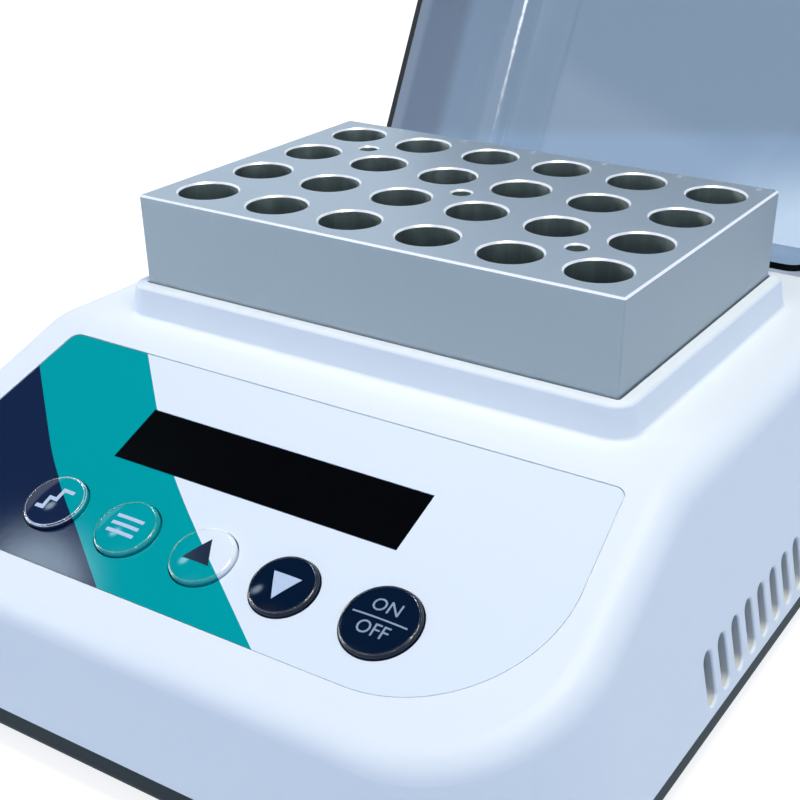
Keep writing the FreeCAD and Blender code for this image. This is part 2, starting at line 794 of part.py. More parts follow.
def hinge_cheeks():
    """Solid cheeks beside each hinge pocket that hold the pin's ends."""
    cheeks = []
    inner = BARREL_LENGTH / 2 + PIN_END_GAP
    outer = inner + PIN_GRIP + WALL
    for x in hinge_places:
        for side in (-1, 1):
            x0, x1 = sorted((x + side * inner, x + side * outer))
            y0 = hinge_y - CHEEK_WIDTH / 2
            z0 = hinge_z - BARREL_R - WALL
            cheeks.append(box(x0, x1, y0, y0 + CHEEK_WIDTH, z0, TOP_Z - CHEEK_BELOW_TOP))
    return cheeks


def housing():
    """The white moulded shell: collar, panel, vents, rear pocket, hinge pockets and bosses."""
    outer = body_form(0)
    full = outer.fuse(collar_form()).removeSplitter()
    foot = [
        e
        for e in full.Edges
        if abs(e.BoundBox.ZMin - TOP_Z) < NEAR and abs(e.BoundBox.ZMax - TOP_Z) < NEAR
        and abs(e.BoundBox.Center.x) <= foot_half_x + NEAR
        and abs(e.BoundBox.Center.y - block_y) <= foot_half_y + NEAR
        and max(abs(e.BoundBox.XMin), abs(e.BoundBox.XMax)) <= foot_half_x + NEAR
        and e.BoundBox.YMin >= block_y - foot_half_y - NEAR
    ]
    full = full.makeFillet(COLLAR_FOOT_R, foot)
    brim = [e for e in full.Edges if abs(e.BoundBox.ZMin - collar_z) < NEAR]
    full = full.makeFillet(COLLAR_TOP_R, brim)
    full = full.cut(vent_slots())
    full = full.makeFillet(VENT_LIP_R, vent_lips(full))

    hollow = body_form(WALL)
    hollow = cut(hollow, [rear_pocket(WALL)] + [hinge_pocket(x, WALL) for x in hinge_places])
    for x, y in case_screws:
        hollow = hollow.cut(rod(CASE_BOSS_R, x, y, pedestal_z, TOP_Z))
    for x, y in holder_screws:
        hollow = hollow.cut(rod(HOLDER_BOSS_R, x, y, insulation_z, TOP_Z))
    hollow = cut(hollow, hinge_cheeks())
    hollow = cut(hollow, panel_posts())
    shell = full.cut(hollow)

    tools = [block_hole(BLOCK_GAP, ceiling_z - OVER, collar_z + OVER), rear_pocket(0)]
    tools += [hinge_pocket(x, 0) for x in hinge_places]
    tools += panel_cuts()
    for x in hinge_places:
        reach = BARREL_LENGTH / 2 + PIN_END_GAP + PIN_GRIP
        tools.append(bar(PIN_R + PIN_SEAT_GAP, x - reach, x + reach, hinge_y, hinge_z))
    for x, y in case_screws:
        tools.append(rod(SCREW_R, x, y, pedestal_z - OVER, pedestal_z + THREAD_BITE + PILOT_SPARE))
    for x, y in holder_screws:
        end = insulation_z + THREAD_BITE + PILOT_SPARE
        tools.append(rod(SCREW_R, x, y, insulation_z - OVER, end))
    tools.append(inlet_opening())
    tools.append(switch_opening())
    for side in (-1, 1):
        x = INLET_X + side * INLET_SCREW_SPACING / 2
        tools.append(lance(SMALL_SCREW_R, x, pocket_y - WALL - OVER, pocket_y + OVER, inlet_z))
    return shell.cut(tools)


# ---------------------------------------------------------------- base tray


def tray_outline(inset, z):
    """The housing's lower outline, drawn in by an inset."""
    return rectangle(
        half_width - inset,
        FRONT_Y + inset,
        rear_y - inset,
        FRONT_CORNER_R - inset,
        REAR_CORNER_R - inset,
        z,
    )


def base_tray():
    """The dark tray that closes the housing: floor, band, lip, pedestals, posts and vents."""
    body = Part.Face(tray_outline(0, FOOT_HEIGHT)).extrude(V(0, 0, TRAY_BAND))
    rim = [e for e in body.Edges if e.BoundBox.ZMax < FOOT_HEIGHT + NEAR]
    body = body.makeFillet(TRAY_EDGE_R, rim)
    inner = WALL / draft_cos + TRAY_LIP * draft + TRAY_LIP_GAP
    lip = Part.Face(tray_outline(inner, FOOT_HEIGHT + TRAY_FLOOR / 2)).extrude(
        V(0, 0, TRAY_BAND + TRAY_LIP - TRAY_FLOOR / 2)
    )
    body = body.fuse(lip).removeSplitter()
    hollow = Part.Face(tray_outline(inner + TRAY_LIP_THICKNESS, floor_z)).extrude(V(0, 0, TOP_Z))
    body = body.cut(hollow)
    root = FOOT_HEIGHT + POST_ROOT
    posts = [rod(PEDESTAL_R, x, y, root, pedestal_z) for x, y in case_screws]
    posts += [rod(POST_R, x, y, root, low_board_z) for x, y in board_posts]
    pads = [rod(FOOT_R + FOOT_PAD, x, y, root, floor_z + FOOT_RECESS) for x, y in foot_places]
    body = joined(body, posts + pads)
    tools = []
    for x, y in case_screws:
        tools.append(rod(SCREW_R + SCREW_GAP, x, y, FOOT_HEIGHT - OVER, pedestal_z + OVER))
        tools.append(rod(HEAD_R + HEAD_GAP, x, y, FOOT_HEIGHT - OVER, pedestal_z - THREAD_BITE / 2))
    for x, y in board_posts:
        tools.append(rod(SMALL_SCREW_R, x, y, floor_z + POST_ROOT, low_board_z + OVER))
    for x, y in foot_places:
        recess_z = FOOT_HEIGHT + FOOT_RECESS
        tools.append(rod(FOOT_TOP_R + FOOT_RECESS_GAP, x, y, FOOT_HEIGHT - OVER, recess_z))
    first = -(TRAY_VENT_COUNT - 1) * TRAY_VENT_PITCH / 2
    for i in range(TRAY_VENT_COUNT):
        x = first + i * TRAY_VENT_PITCH
        tools.append(
            slab(
                x - TRAY_VENT_WIDTH / 2,
                x + TRAY_VENT_WIDTH / 2,
                block_y - TRAY_VENT_LENGTH / 2,
                block_y + TRAY_VENT_LENGTH / 2,
                FOOT_HEIGHT - OVER,
                floor_z + OVER,
                TRAY_VENT_WIDTH / 2 - ARC_SHORT,
            )
        )
    return cut(body, tools)


def tray_screws():
    """Four screws that hold the tray to the housing."""
    seat = pedestal_z - THREAD_BITE / 2
    length = THREAD_BITE / 2 + THREAD_BITE
    return [
        screw(x, y, seat, length, SCREW_R, HEAD_R, HEAD, upwards=True) for x, y in case_screws
    ]


def rubber_feet():
    """Four round feet set in shallow recesses under the tray."""
    feet = []
    for x, y in foot_places:
        cone = Part.makeCone(FOOT_R, FOOT_TOP_R, FOOT_HEIGHT, V(x, y, 0))
        edge = [e for e in cone.Edges if e.Closed and e.BoundBox.ZMax < NEAR]
        cone = cone.makeFillet(FOOT_EDGE_R, edge)
        stem = rod(FOOT_TOP_R, x, y, FOOT_HEIGHT, FOOT_HEIGHT + FOOT_RECESS)
        feet.append(cone.fuse(stem).removeSplitter())
    return feet


# ---------------------------------------------------------------- block and heater


def well_centres():
    """Centres of the 24 wells, front row first."""
    x0 = -(WELL_COLUMNS - 1) * WELL_PITCH / 2
    y0 = block_y - (WELL_ROWS - 1) * WELL_PITCH / 2
    return [
        (x0 + i * WELL_PITCH, y0 + j * WELL_PITCH)
        for j in range(WELL_ROWS)
        for i in range(WELL_COLUMNS)
    ]


def drilled(radius, depth, chamfer, ball):
    """A hole from the block's top: chamfered mouth, straight wall, ball or cone bottom."""
    top = block_top_z
    straight = depth - radius if ball else depth
    points = [
        V(0, 0, top + OVER),
        V(radius + chamfer + OVER, 0, top + OVER),
        V(radius, 0, top - chamfer),
        V(radius, 0, top - straight),
    ]
    edges = [Part.LineSegment(a, b).toShape() for a, b in zip(points, points[1:])]
    last = points[-1]
    if ball:
        lowest = V(0, 0, top - depth)
        elbow = math.radians(45)
        through = V(radius * math.cos(elbow), 0, last.z - radius * math.sin(elbow))
        edges.append(Part.Arc(last, through, lowest).toShape())
    else:
        lowest = V(0, 0, last.z - radius * math.tan(math.radians(DRILL_TIP_DEG)))
        edges.append(Part.LineSegment(last, lowest).toShape())
    edges.append(Part.LineSegment(lowest, points[0]).toShape())
    return Part.Face(Part.Wire(edges)).revolve(V(0, 0, 0), Z_AXIS, 360)


def heating_block():
    """The machined aluminium block: 24 ball-ended wells, two lifting holes, a probe hole."""
    body = box(
        -block_half_x,
        block_half_x,
        block_y - block_half_y,
        block_y + block_half_y,
        block_z,
        block_top_z,
    )
    upright = [e for e in body.Edges if e.BoundBox.ZLength > BLOCK_HEIGHT / 2]
    body = body.makeChamfer(BLOCK_SIDE_CHAMFER, upright)
    brim = [e for e in body.Edges if e.BoundBox.ZMin > block_top_z - NEAR]
    body = body.makeChamfer(BLOCK_EDGE_CHAMFER, brim)
    tools = []
    for x, y in well_centres():
        well = drilled(WELL_R, WELL_DEPTH, WELL_CHAMFER, True)
        well.translate(V(x, y, 0))
        tools.append(well)
    # the small holes lie between wells, on the block's long diagonal
    across = (WELL_COLUMNS / 2 - 1) * WELL_PITCH
    along = (WELL_ROWS / 2 - 1) * WELL_PITCH
    for x, y, depth in (
        (-across, along, LIFT_HOLE_DEPTH),
        (0.0, 0.0, PROBE_HOLE_DEPTH),
        (across, -along, LIFT_HOLE_DEPTH),
    ):
        hole = drilled(LIFT_HOLE_R, depth, SMALL_HOLE_CHAMFER, False)
        hole.translate(V(x, block_y + y, 0))
        tools.append(hole)
    return cut(body, tools)


def heater_plate():
    """The aluminium plate the block stands on, with a bore for the temperature probe."""
    half_x = block_half_x - PLATE_INSET
    half_y = block_half_y - PLATE_INSET
    plate = slab(-half_x, half_x, block_y - half_y, block_y + half_y, plate_z, plate_top_z, PLATE_CORNER_R)
    front = block_y - half_y
    bore = lance(PROBE_R + PROBE_GAP, 0, front - OVER, front + PROBE_DEPTH, plate_z + PLATE_THICKNESS / 2)
    return plate.cut(bore)


def mat_form(z0, z1):
    """The heating mat's outline between two heights."""
    half_x = block_half_x - MAT_INSET
    half_y = block_half_y - MAT_INSET
    return slab(-half_x, half_x, block_y - half_y, block_y + half_y, z0, z1, MAT_CORNER_R)


def heater_mat():
    """The silicone heating mat bonded under the plate."""
    return mat_form(mat_z, plate_z)


def well_liner():
    """The thin metal liner round the block, flanged under the housing's top."""
    tube = block_hole(BLOCK_GAP + LINER, plate_z, ceiling_z)
    flange = block_hole(BLOCK_GAP + LINER + LINER_FLANGE, ceiling_z - LINER, ceiling_z)
    tools = [block_hole(BLOCK_GAP, plate_z - OVER, ceiling_z + OVER), probe_passage()]
    return cut(tube.fuse(flange).removeSplitter(), tools)


def probe_passage():
    """The hole that the temperature probe passes through in front of the plate."""
    middle = plate_z + PLATE_THICKNESS / 2
    return lance(PROBE_R + PROBE_PASSAGE_GAP, 0, insulation_front_y - OVER, block_y, middle)


def insulation_tub():
    """The insulating tub round the liner and under the mat."""
    tub = slab(
        -insulation_half_x,
        insulation_half_x,
        insulation_front_y,
        insulation_rear_y,
        insulation_z,
        ceiling_z - LINER,
        INSULATION_CORNER_R,
    )
    tools = [
        block_hole(BLOCK_GAP + LINER, plate_z, ceiling_z),
        mat_form(mat_z, plate_z + OVER),
        probe_passage(),
        rod(CUTOUT_FLANGE_R + CUTOUT_GAP, 0, block_y, insulation_z - OVER, mat_z + OVER),
    ]
    return cut(tub, tools)


def holder():
    """The sheet-metal tray under the insulation, with four ears to the housing's bosses."""
    plate = slab(
        -insulation_half_x,
        insulation_half_x,
        insulation_front_y,
        insulation_rear_y,
        holder_z,
        insulation_z,
        INSULATION_CORNER_R,
    )
    ears = []
    for x, y in holder_screws:
        x0, x1 = sorted((x, math.copysign(insulation_half_x - HOLDER_EAR_LAP, x)))
        ears.append(box(x0, x1, y - HOLDER_BOSS_R, y + HOLDER_BOSS_R, holder_z, insulation_z))
        ears.append(rod(HOLDER_BOSS_R, x, y, holder_z, insulation_z))
    plate = joined(plate, ears)
    tools = [rod(SCREW_R + SCREW_GAP, x, y, holder_z - OVER, insulation_z + OVER) for x, y in holder_screws]
    tools.append(rod(CUTOUT_FLANGE_R + CUTOUT_GAP, 0, block_y, holder_z - OVER, insulation_z + OVER))
    return cut(plate, tools)


def holder_screw_set():
    """Four screws that hang the holder from the housing."""
    return [
        screw(x, y, holder_z, THREAD_BITE + HOLDER, SCREW_R, HEAD_R, HEAD, upwards=True)
        for x, y in holder_screws
    ]


def temperature_probe():
    """A sheathed probe pushed into the heater plate from the front."""
    front = block_y - block_half_y + PLATE_INSET
    middle = plate_z + PLATE_THICKNESS / 2
    end = front + PROBE_DEPTH - PROBE_SHORT
    tail = end - PROBE_LENGTH
    sheath = lance(PROBE_R, 0, tail, end, middle)
    sleeve = lance(PROBE_R + SLEEVE_WALL, 0, tail - SLEEVE_LENGTH, tail, middle)
    return sheath.fuse(sleeve).removeSplitter()


def thermal_cutout():
    """The safety thermostat pressed against the mat, with two tab terminals."""
    disc = rod(CUTOUT_FLANGE_R, 0, block_y, mat_z - CUTOUT_FLANGE, mat_z)
    base = mat_z - CUTOUT_FLANGE - CUTOUT_HEIGHT
    can = rod(CUTOUT_R, 0, block_y, base, mat_z - CUTOUT_FLANGE)
    tabs = []
    for side in (-1, 1):
        x0 = side * CUTOUT_TAB_SPACING / 2 - CUTOUT_TAB / 2
        y0 = block_y - CUTOUT_TAB_WIDTH / 2
        y1 = y0 + CUTOUT_TAB_WIDTH
        tabs.append(box(x0, x0 + CUTOUT_TAB, y0, y1, base - CUTOUT_TAB_LENGTH, base))
    return joined(disc, [can] + tabs)


# ---------------------------------------------------------------- panel


def panel_overlay():
    """The printed label with its display window and key holes."""
    film = label_form(0, recess_w, recess_w + LABEL_THICKNESS)
    tools = [panel_plate(LENS_LENGTH, LENS_HEIGHT, recess_w - OVER, OVER)]
    for x, radius in keys.values():
        tools.append(rod(radius + KEY_GAP, x, -KEY_LINE, recess_w - OVER, OVER))
    return on_panel(cut(film, tools))


def display_lens():
    """The dark window: a land that fills the label's opening, on a flange under the label."""
    land = panel_plate(
        LENS_LENGTH - 2 * LENS_GAP,
        LENS_HEIGHT - 2 * LENS_GAP,
        recess_w,
        recess_w + LABEL_THICKNESS,
    )
    flange = panel_plate(
        LENS_LENGTH + 2 * LENS_FLANGE, LENS_HEIGHT + 2 * LENS_FLANGE, lens_w, recess_w
    )
    return on_panel(land.fuse(flange).removeSplitter())


def key_cap(x, radius):
    """A domed key: crowned cap with a rounded edge, a retaining flange and a short stem."""
    top = KEY_RISE
    slant = KEY_EDGE_R * (1 - math.cos(math.radians(45)))
    flange_top = key_flange_w + KEY_FLANGE_THICKNESS
    crown = V(0, 0, top + KEY_CROWN)
    shoulder = V(radius - KEY_EDGE_R, 0, top)
    half = shoulder.x / 2
    sides = [
        V(radius, 0, top - KEY_EDGE_R),
        V(radius, 0, flange_top),
        V(radius + KEY_FLANGE, 0, flange_top),
        V(radius + KEY_FLANGE, 0, key_flange_w),
        V(KEY_STEM_R, 0, key_flange_w),
        V(KEY_STEM_R, 0, stem_w),
        V(0, 0, stem_w),
        crown,
    ]
    edges = [Part.Arc(crown, V(half, 0, top + KEY_CROWN * 0.75), shoulder).toShape()]
    edges.append(Part.Arc(shoulder, V(radius - slant, 0, top - slant), sides[0]).toShape())
    edges += [Part.LineSegment(a, b).toShape() for a, b in zip(sides, sides[1:])]
    cap = Part.Face(Part.Wire(edges)).revolve(V(0, 0, 0), Z_AXIS, 360)
    cap.translate(V(x, -KEY_LINE, 0))
    return on_panel(cap)


def tactile_switches():
    """Five tactile switches on the key board."""
    switches = []
    half = SWITCH_SIDE / 2
    for x, _ in keys.values():
        body = slab(
            x - half,
            x + half,
            -KEY_LINE - half,
            -KEY_LINE + half,
            key_board_w,
            key_board_w + SWITCH_BODY,
            0.5,
        )
        plunger = rod(
            SWITCH_PLUNGER_R,
            x,
            -KEY_LINE,
            key_board_w + SWITCH_BODY,
            key_board_w + SWITCH_BODY + SWITCH_PLUNGER,
        )
        switches.append(on_panel(body.fuse(plunger).removeSplitter()))
    return switches


def key_board():
    """The board behind the keys."""
    x = KEY_BOARD_SHIFT_X
    board = slab(
        x - KEY_BOARD_LENGTH / 2,
        x + KEY_BOARD_LENGTH / 2,
        -KEY_LINE - KEY_BOARD_WIDTH / 2,
        -KEY_LINE + KEY_BOARD_WIDTH / 2,
        key_board_w - BOARD,
        key_board_w,
        BOARD_CORNER_R,
    )
    holes = [
        rod(SMALL_SCREW_R + SCREW_GAP, px, py, key_board_w - BOARD - OVER, key_board_w + OVER)
        for px, py in key_posts
    ]
    return on_panel(cut(board, holes))


def display_board():
    """The display module's board."""
    board = panel_plate(
        display_board_length, display_board_width, display_board_w - BOARD, display_board_w
    )
    holes = [
        rod(SMALL_SCREW_R + SCREW_GAP, px, py, display_board_w - BOARD - OVER, display_board_w + OVER)
        for px, py in display_posts
    ]
    return on_panel(cut(board, holes))


def display_bezel():
    """The display's pressed-metal frame."""
    frame = panel_plate(bezel_length, bezel_width, display_board_w, bezel_w)
    inside = panel_plate(
        bezel_length - 2 * BEZEL_SHEET,
        bezel_width - 2 * BEZEL_SHEET,
        display_board_w - OVER,
        bezel_w - BEZEL_SHEET,
    )
    view = panel_plate(view_length, view_width, display_board_w, bezel_w + OVER)
    return on_panel(cut(frame, [inside, view]))


def display_glass():
    """The liquid-crystal glass and its light box, inside the metal frame."""
    glass = panel_plate(
        bezel_length - 2 * (BEZEL_SHEET + GLASS_GAP),
        bezel_width - 2 * (BEZEL_SHEET + GLASS_GAP),
        display_board_w,
        bezel_w - BEZEL_SHEET,
    )
    return on_panel(glass)


def board_screws():
    """Small screws of the key board, the display board and the two lower boards."""
    screws = []
    length = BOARD_SCREW_BITE + BOARD
    for x, y in display_posts:
        face = display_board_w - BOARD
        screws.append(
            on_panel(screw(x, y, face, length, SMALL_SCREW_R, SMALL_HEAD_R, SMALL_HEAD, upwards=True))
        )
    for x, y in key_posts:
        face = key_board_w - BOARD
        screws.append(
            on_panel(screw(x, y, face, length, SMALL_SCREW_R, SMALL_HEAD_R, SMALL_HEAD, upwards=True))
        )
    for x, y in board_posts:
        face = low_board_z + BOARD
        screws.append(screw(x, y, face, length, SMALL_SCREW_R, SMALL_HEAD_R, SMALL_HEAD))
    return screws


# ---------------------------------------------------------------- lower boards


def low_board(x0, x1):
    """A board on the tray's posts."""
    board = slab(x0, x1, low_board_y0, low_board_y1, low_board_z, low_board_z + BOARD, BOARD_CORNER_R)
    holes = [
        rod(SMALL_SCREW_R + SCREW_GAP, x, y, low_board_z - OVER, low_board_z + BOARD + OVER)
        for x, y in board_posts
        if x0 < x < x1
    ]
    return cut(board, holes)


def on_board(x, y, length, width, height):
    """A plain box on a lower board, from its left front corner."""
    z = low_board_z + BOARD
    return box(x, x + length, y, y + width, z, z + height)


def transformer():
    """The mains transformer: a core frame round a wound coil."""
    x = power_board_x0 + PART_FROM_EDGE
    y = low_board_y1 - PART_FROM_EDGE - COIL_WIDTH
    core = on_board(x, y + (COIL_WIDTH - CORE_WIDTH) / 2, CORE_LENGTH, CORE_WIDTH, CORE_HEIGHT)
    x0 = x + (CORE_LENGTH - COIL_LENGTH) / 2
    z = low_board_z + BOARD
    coil = slab(x0, x0 + COIL_LENGTH, y, y + COIL_WIDTH, z, z + COIL_HEIGHT, COIL_CORNER_R)
    return joined(core, [coil])


def heat_sink():
    """A finned heat sink for the heater's switching device."""
    x = power_board_x0 + PART_FROM_EDGE + CORE_LENGTH + PART_SPACING
    y = low_board_y1 - PART_FROM_EDGE - COIL_WIDTH
    sink = on_board(x, y, SINK_LENGTH, SINK_BASE, SINK_HEIGHT)
    step = (SINK_LENGTH - SINK_FIN) / (SINK_FINS - 1)
    fins = [on_board(x + i * step, y, SINK_FIN, SINK_WIDTH, SINK_HEIGHT) for i in range(SINK_FINS)]
    return joined(sink, fins)


def power_parts():
    """Two capacitors, the relay and the terminal block, in a row at the power board's front."""
    z = low_board_z + BOARD
    y = low_board_y0 + PART_FROM_EDGE
    large_x = power_board_x0 + 2 * PART_FROM_EDGE
    small_x = large_x + CAPACITOR_R + SMALL_CAPACITOR_R + PART_SPACING
    relay_x = small_x + SMALL_CAPACITOR_R + PART_SPACING
    terminal_x = relay_x + RELAY_LENGTH + PART_SPACING
    return [
        rod(CAPACITOR_R, large_x, y, z, z + CAPACITOR_HEIGHT),
        rod(SMALL_CAPACITOR_R, small_x, y, z, z + SMALL_CAPACITOR_HEIGHT),
        on_board(relay_x, y - RELAY_WIDTH / 2, RELAY_LENGTH, RELAY_WIDTH, RELAY_HEIGHT),
        on_board(
            terminal_x, y - TERMINAL_WIDTH / 2, TERMINAL_LENGTH, TERMINAL_WIDTH, TERMINAL_HEIGHT
        ),
    ]


def main_parts():
    """The controller, the buzzer and a connector in a row on the main board."""
    z = low_board_z + BOARD
    x = main_board_x0 + PART_FROM_EDGE
    y = (low_board_y0 + low_board_y1) / 2
    buzzer_x = x + CHIP_SIDE + PART_SPACING + BUZZER_R
    return [
        on_board(x, y - CHIP_SIDE / 2, CHIP_SIDE, CHIP_SIDE, CHIP_HEIGHT),
        rod(BUZZER_R, buzzer_x, y, z, z + BUZZER_HEIGHT),
        on_board(
            x,
            low_board_y1 - PART_FROM_EDGE - CONNECTOR_WIDTH,
            CONNECTOR_LENGTH,
            CONNECTOR_WIDTH,
            CONNECTOR_HEIGHT,
        ),
    ]


# ---------------------------------------------------------------- rear pocket


def inlet_opening():
    """The opening in the pocket's floor for the inlet's body."""
    half_x = INLET_BODY_WIDTH / 2 + SNAP_GAP
    half_z = INLET_BODY_HEIGHT / 2 + SNAP_GAP
    return box(
        INLET_X - half_x,
        INLET_X + half_x,
        pocket_y - WALL - OVER,
        pocket_y + OVER,
        inlet_z - half_z,
        inlet_z + half_z,
    )


def switch_body_half():
    """Half width and half height of the switch's body behind its bezel."""
    half_x = ROCKER_WIDTH / 2 + ROCKER_GAP + SWITCH_BODY_WALL
    half_z = ROCKER_HEIGHT / 2 + ROCKER_GAP + SWITCH_BODY_WALL
    return half_x, half_z


def switch_opening():
    """The opening in the pocket's floor for the switch's body."""
    half_x, half_z = switch_body_half()
    return box(
        SWITCH_X - half_x - SNAP_GAP,
        SWITCH_X + half_x + SNAP_GAP,
        pocket_y - WALL - OVER,
        pocket_y + OVER,
        inlet_z - half_z - SNAP_GAP,
        inlet_z + half_z + SNAP_GAP,
    )


def socket_space():
    """The inlet's socket, with its two cut lower corners."""
    half = SOCKET_WIDTH / 2
    z0 = socket_z - SOCKET_HEIGHT / 2
    z1 = socket_z + SOCKET_HEIGHT / 2
    back = inlet_face_y - SOCKET_DEPTH
    points = [
        V(INLET_X - half, back, z1),
        V(INLET_X - half, back, z0 + SOCKET_CHAMFER),
        V(INLET_X - half + SOCKET_CHAMFER, back, z0),
        V(INLET_X + half - SOCKET_CHAMFER, back, z0),
        V(INLET_X + half, back, z0 + SOCKET_CHAMFER),
        V(INLET_X + half, back, z1),
        V(INLET_X - half, back, z1),
    ]
    return Part.Face(Part.makePolygon(points)).extrude(V(0, SOCKET_DEPTH + OVER, 0))


def power_inlet():
    """The mains inlet: flange with two screw ears, socket shroud and fuse bay."""
    flange = upright_slab(
        INLET_X - INLET_FLANGE_WIDTH / 2,
        INLET_X + INLET_FLANGE_WIDTH / 2,
        inlet_z - INLET_FLANGE_HEIGHT / 2,
        inlet_z + INLET_FLANGE_HEIGHT / 2,
        pocket_y,
        inlet_face_y,
        INLET_FLANGE_R,
    )
    half_x = INLET_BODY_WIDTH / 2
    half_z = INLET_BODY_HEIGHT / 2
    body = box(
        INLET_X - half_x,
        INLET_X + half_x,
        pocket_y - INLET_BODY_DEPTH,
        pocket_y,
        inlet_z - half_z,
        inlet_z + half_z,
    )
    tools = [socket_space(), drawer_space(DRAWER_GAP)]
    for side in (-1, 1):
        x = INLET_X + side * INLET_SCREW_SPACING / 2
        tools.append(lance(SMALL_SCREW_R + SCREW_GAP, x, pocket_y - OVER, inlet_face_y + OVER, inlet_z))
    for x, z in blade_places():
        tools.append(blade(x, z))
    return cut(flange.fuse(body).removeSplitter(), tools)


def drawer_space(gap):
    """The fuse drawer's bay, or with no gap its body."""
    half = DRAWER_WIDTH / 2 + gap
    return box(
        INLET_X - half,
        INLET_X + half,
        inlet_face_y - DRAWER_DEPTH - gap,
        inlet_face_y + (1 if gap else 0),
        drawer_z - DRAWER_HEIGHT / 2 - gap,
        drawer_z + DRAWER_HEIGHT / 2 + gap,
    )


def blade_places():
    """The three contacts: line and neutral side by side, earth between and below them."""
    upper = socket_z + BLADE_OFFSET / 2
    lower = socket_z - BLADE_OFFSET / 2
    return [
        (INLET_X - BLADE_SPACING / 2, upper),
        (INLET_X, lower),
        (INLET_X + BLADE_SPACING / 2, upper),
    ]


def blade(x, z):
    """One flat contact from inside the socket to its tail behind the body."""
    return box(
        x - BLADE_WIDTH / 2,
        x + BLADE_WIDTH / 2,
        pocket_y - INLET_BODY_DEPTH - BLADE_TAIL,
        inlet_face_y - BLADE_SHORT_OF_FACE,
        z - BLADE_HEIGHT / 2,
        z + BLADE_HEIGHT / 2,
    )


def fuse_drawer():
    """The pull-out fuse drawer with its face plate and trough."""
    body = drawer_space(0)
    face = box(
        INLET_X - DRAWER_WIDTH / 2 - DRAWER_FACE_RIM,
        INLET_X + DRAWER_WIDTH / 2 + DRAWER_FACE_RIM,
        inlet_face_y + DRAWER_FACE_GAP,
        inlet_face_y + DRAWER_FACE,
        drawer_z - DRAWER_HEIGHT / 2 - DRAWER_FACE_RIM,
        drawer_z + DRAWER_HEIGHT / 2 + DRAWER_FACE_RIM / 2,
    )
    neck = box(
        INLET_X - DRAWER_WIDTH / 2,
        INLET_X + DRAWER_WIDTH / 2,
        inlet_face_y,
        inlet_face_y + DRAWER_FACE,
        drawer_z - DRAWER_HEIGHT / 2,
        drawer_z + DRAWER_HEIGHT / 2,
    )
    grip_y = inlet_face_y + DRAWER_FACE + GRIP_PROUD
    grip = bar(GRIP_R, INLET_X - GRIP_LENGTH / 2, INLET_X + GRIP_LENGTH / 2, grip_y, drawer_z)
    y = fuse_y()
    half = FUSE_LENGTH / 2 + FUSE_GAP
    r = FUSE_R + FUSE_GAP
    trough = bar(r, INLET_X - half, INLET_X + half, y, drawer_z)
    mouth = box(INLET_X - half, INLET_X + half, y - r, y + r, drawer_z, drawer_z + DRAWER_HEIGHT)
    return cut(joined(body, [face, neck]), [grip, trough, mouth])


def fuse_y():
    """The fuse's axis inside the drawer."""
    return inlet_face_y - DRAWER_DEPTH + FUSE_R + FUSE_BEHIND


def fuse():
    """The cartridge fuse: glass tube with two end caps."""
    y = fuse_y()
    x0 = INLET_X - FUSE_LENGTH / 2
    x1 = INLET_X + FUSE_LENGTH / 2
    tube = bar(FUSE_R - FUSE_CAP_WALL, x0 + FUSE_CAP, x1 - FUSE_CAP, y, drawer_z)
    caps = [bar(FUSE_R, x0, x0 + FUSE_CAP, y, drawer_z), bar(FUSE_R, x1 - FUSE_CAP, x1, y, drawer_z)]
    return joined(tube, caps)


def inlet_screw_set():
    """Two screws through the inlet's ears."""
    screws = []
    for side in (-1, 1):
        x = INLET_X + side * INLET_SCREW_SPACING / 2
        piece = screw(0, 0, 0, INLET_SCREW_LENGTH, SMALL_SCREW_R, SMALL_HEAD_R, SMALL_HEAD)
        piece.Placement = FreeCAD.Placement(
            V(x, inlet_face_y, inlet_z), FreeCAD.Rotation(X_AXIS, -90)
        )
        screws.append(piece)
    return screws


def rocker_pivot():
    """The rocker's pivot axis, as y and z."""
    return switch_face_y - ROCKER_DEPTH / 2, inlet_z


def switch_frame():
    """The switch's bezel and hollow body, with bearings for the rocker."""
    half_x, half_z = switch_body_half()
    rim = BEZEL_RIM - SWITCH_BODY_WALL + SWITCH_RIM_LAP
    bezel = upright_slab(
        SWITCH_X - half_x - rim,
        SWITCH_X + half_x + rim,
        inlet_z - half_z - rim,
        inlet_z + half_z + rim,
        pocket_y,
        switch_face_y,
        SWITCH_CORNER_R,
    )
    body = box(
        SWITCH_X - half_x,
        SWITCH_X + half_x,
        pocket_y - SWITCH_BODY_DEPTH,
        pocket_y,
        inlet_z - half_z,
        inlet_z + half_z,
    )
    y, z = rocker_pivot()
    inside_x = ROCKER_WIDTH / 2 + ROCKER_GAP
    inside_z = ROCKER_HEIGHT / 2 + ROCKER_GAP
    room = box(
        SWITCH_X - inside_x,
        SWITCH_X + inside_x,
        switch_face_y - ROCKER_DEPTH - ROCKER_ROOM,
        switch_face_y + OVER,
        inlet_z - inside_z,
        inlet_z + inside_z,
    )
    reach = ROCKER_WIDTH / 2 + ROCKER_PIVOT_LENGTH + ROCKER_END_GAP
    bearing = bar(ROCKER_PIVOT_R + PIN_RUN_GAP, SWITCH_X - reach, SWITCH_X + reach, y, z)
    return cut(bezel.fuse(body).removeSplitter(), [room, bearing])


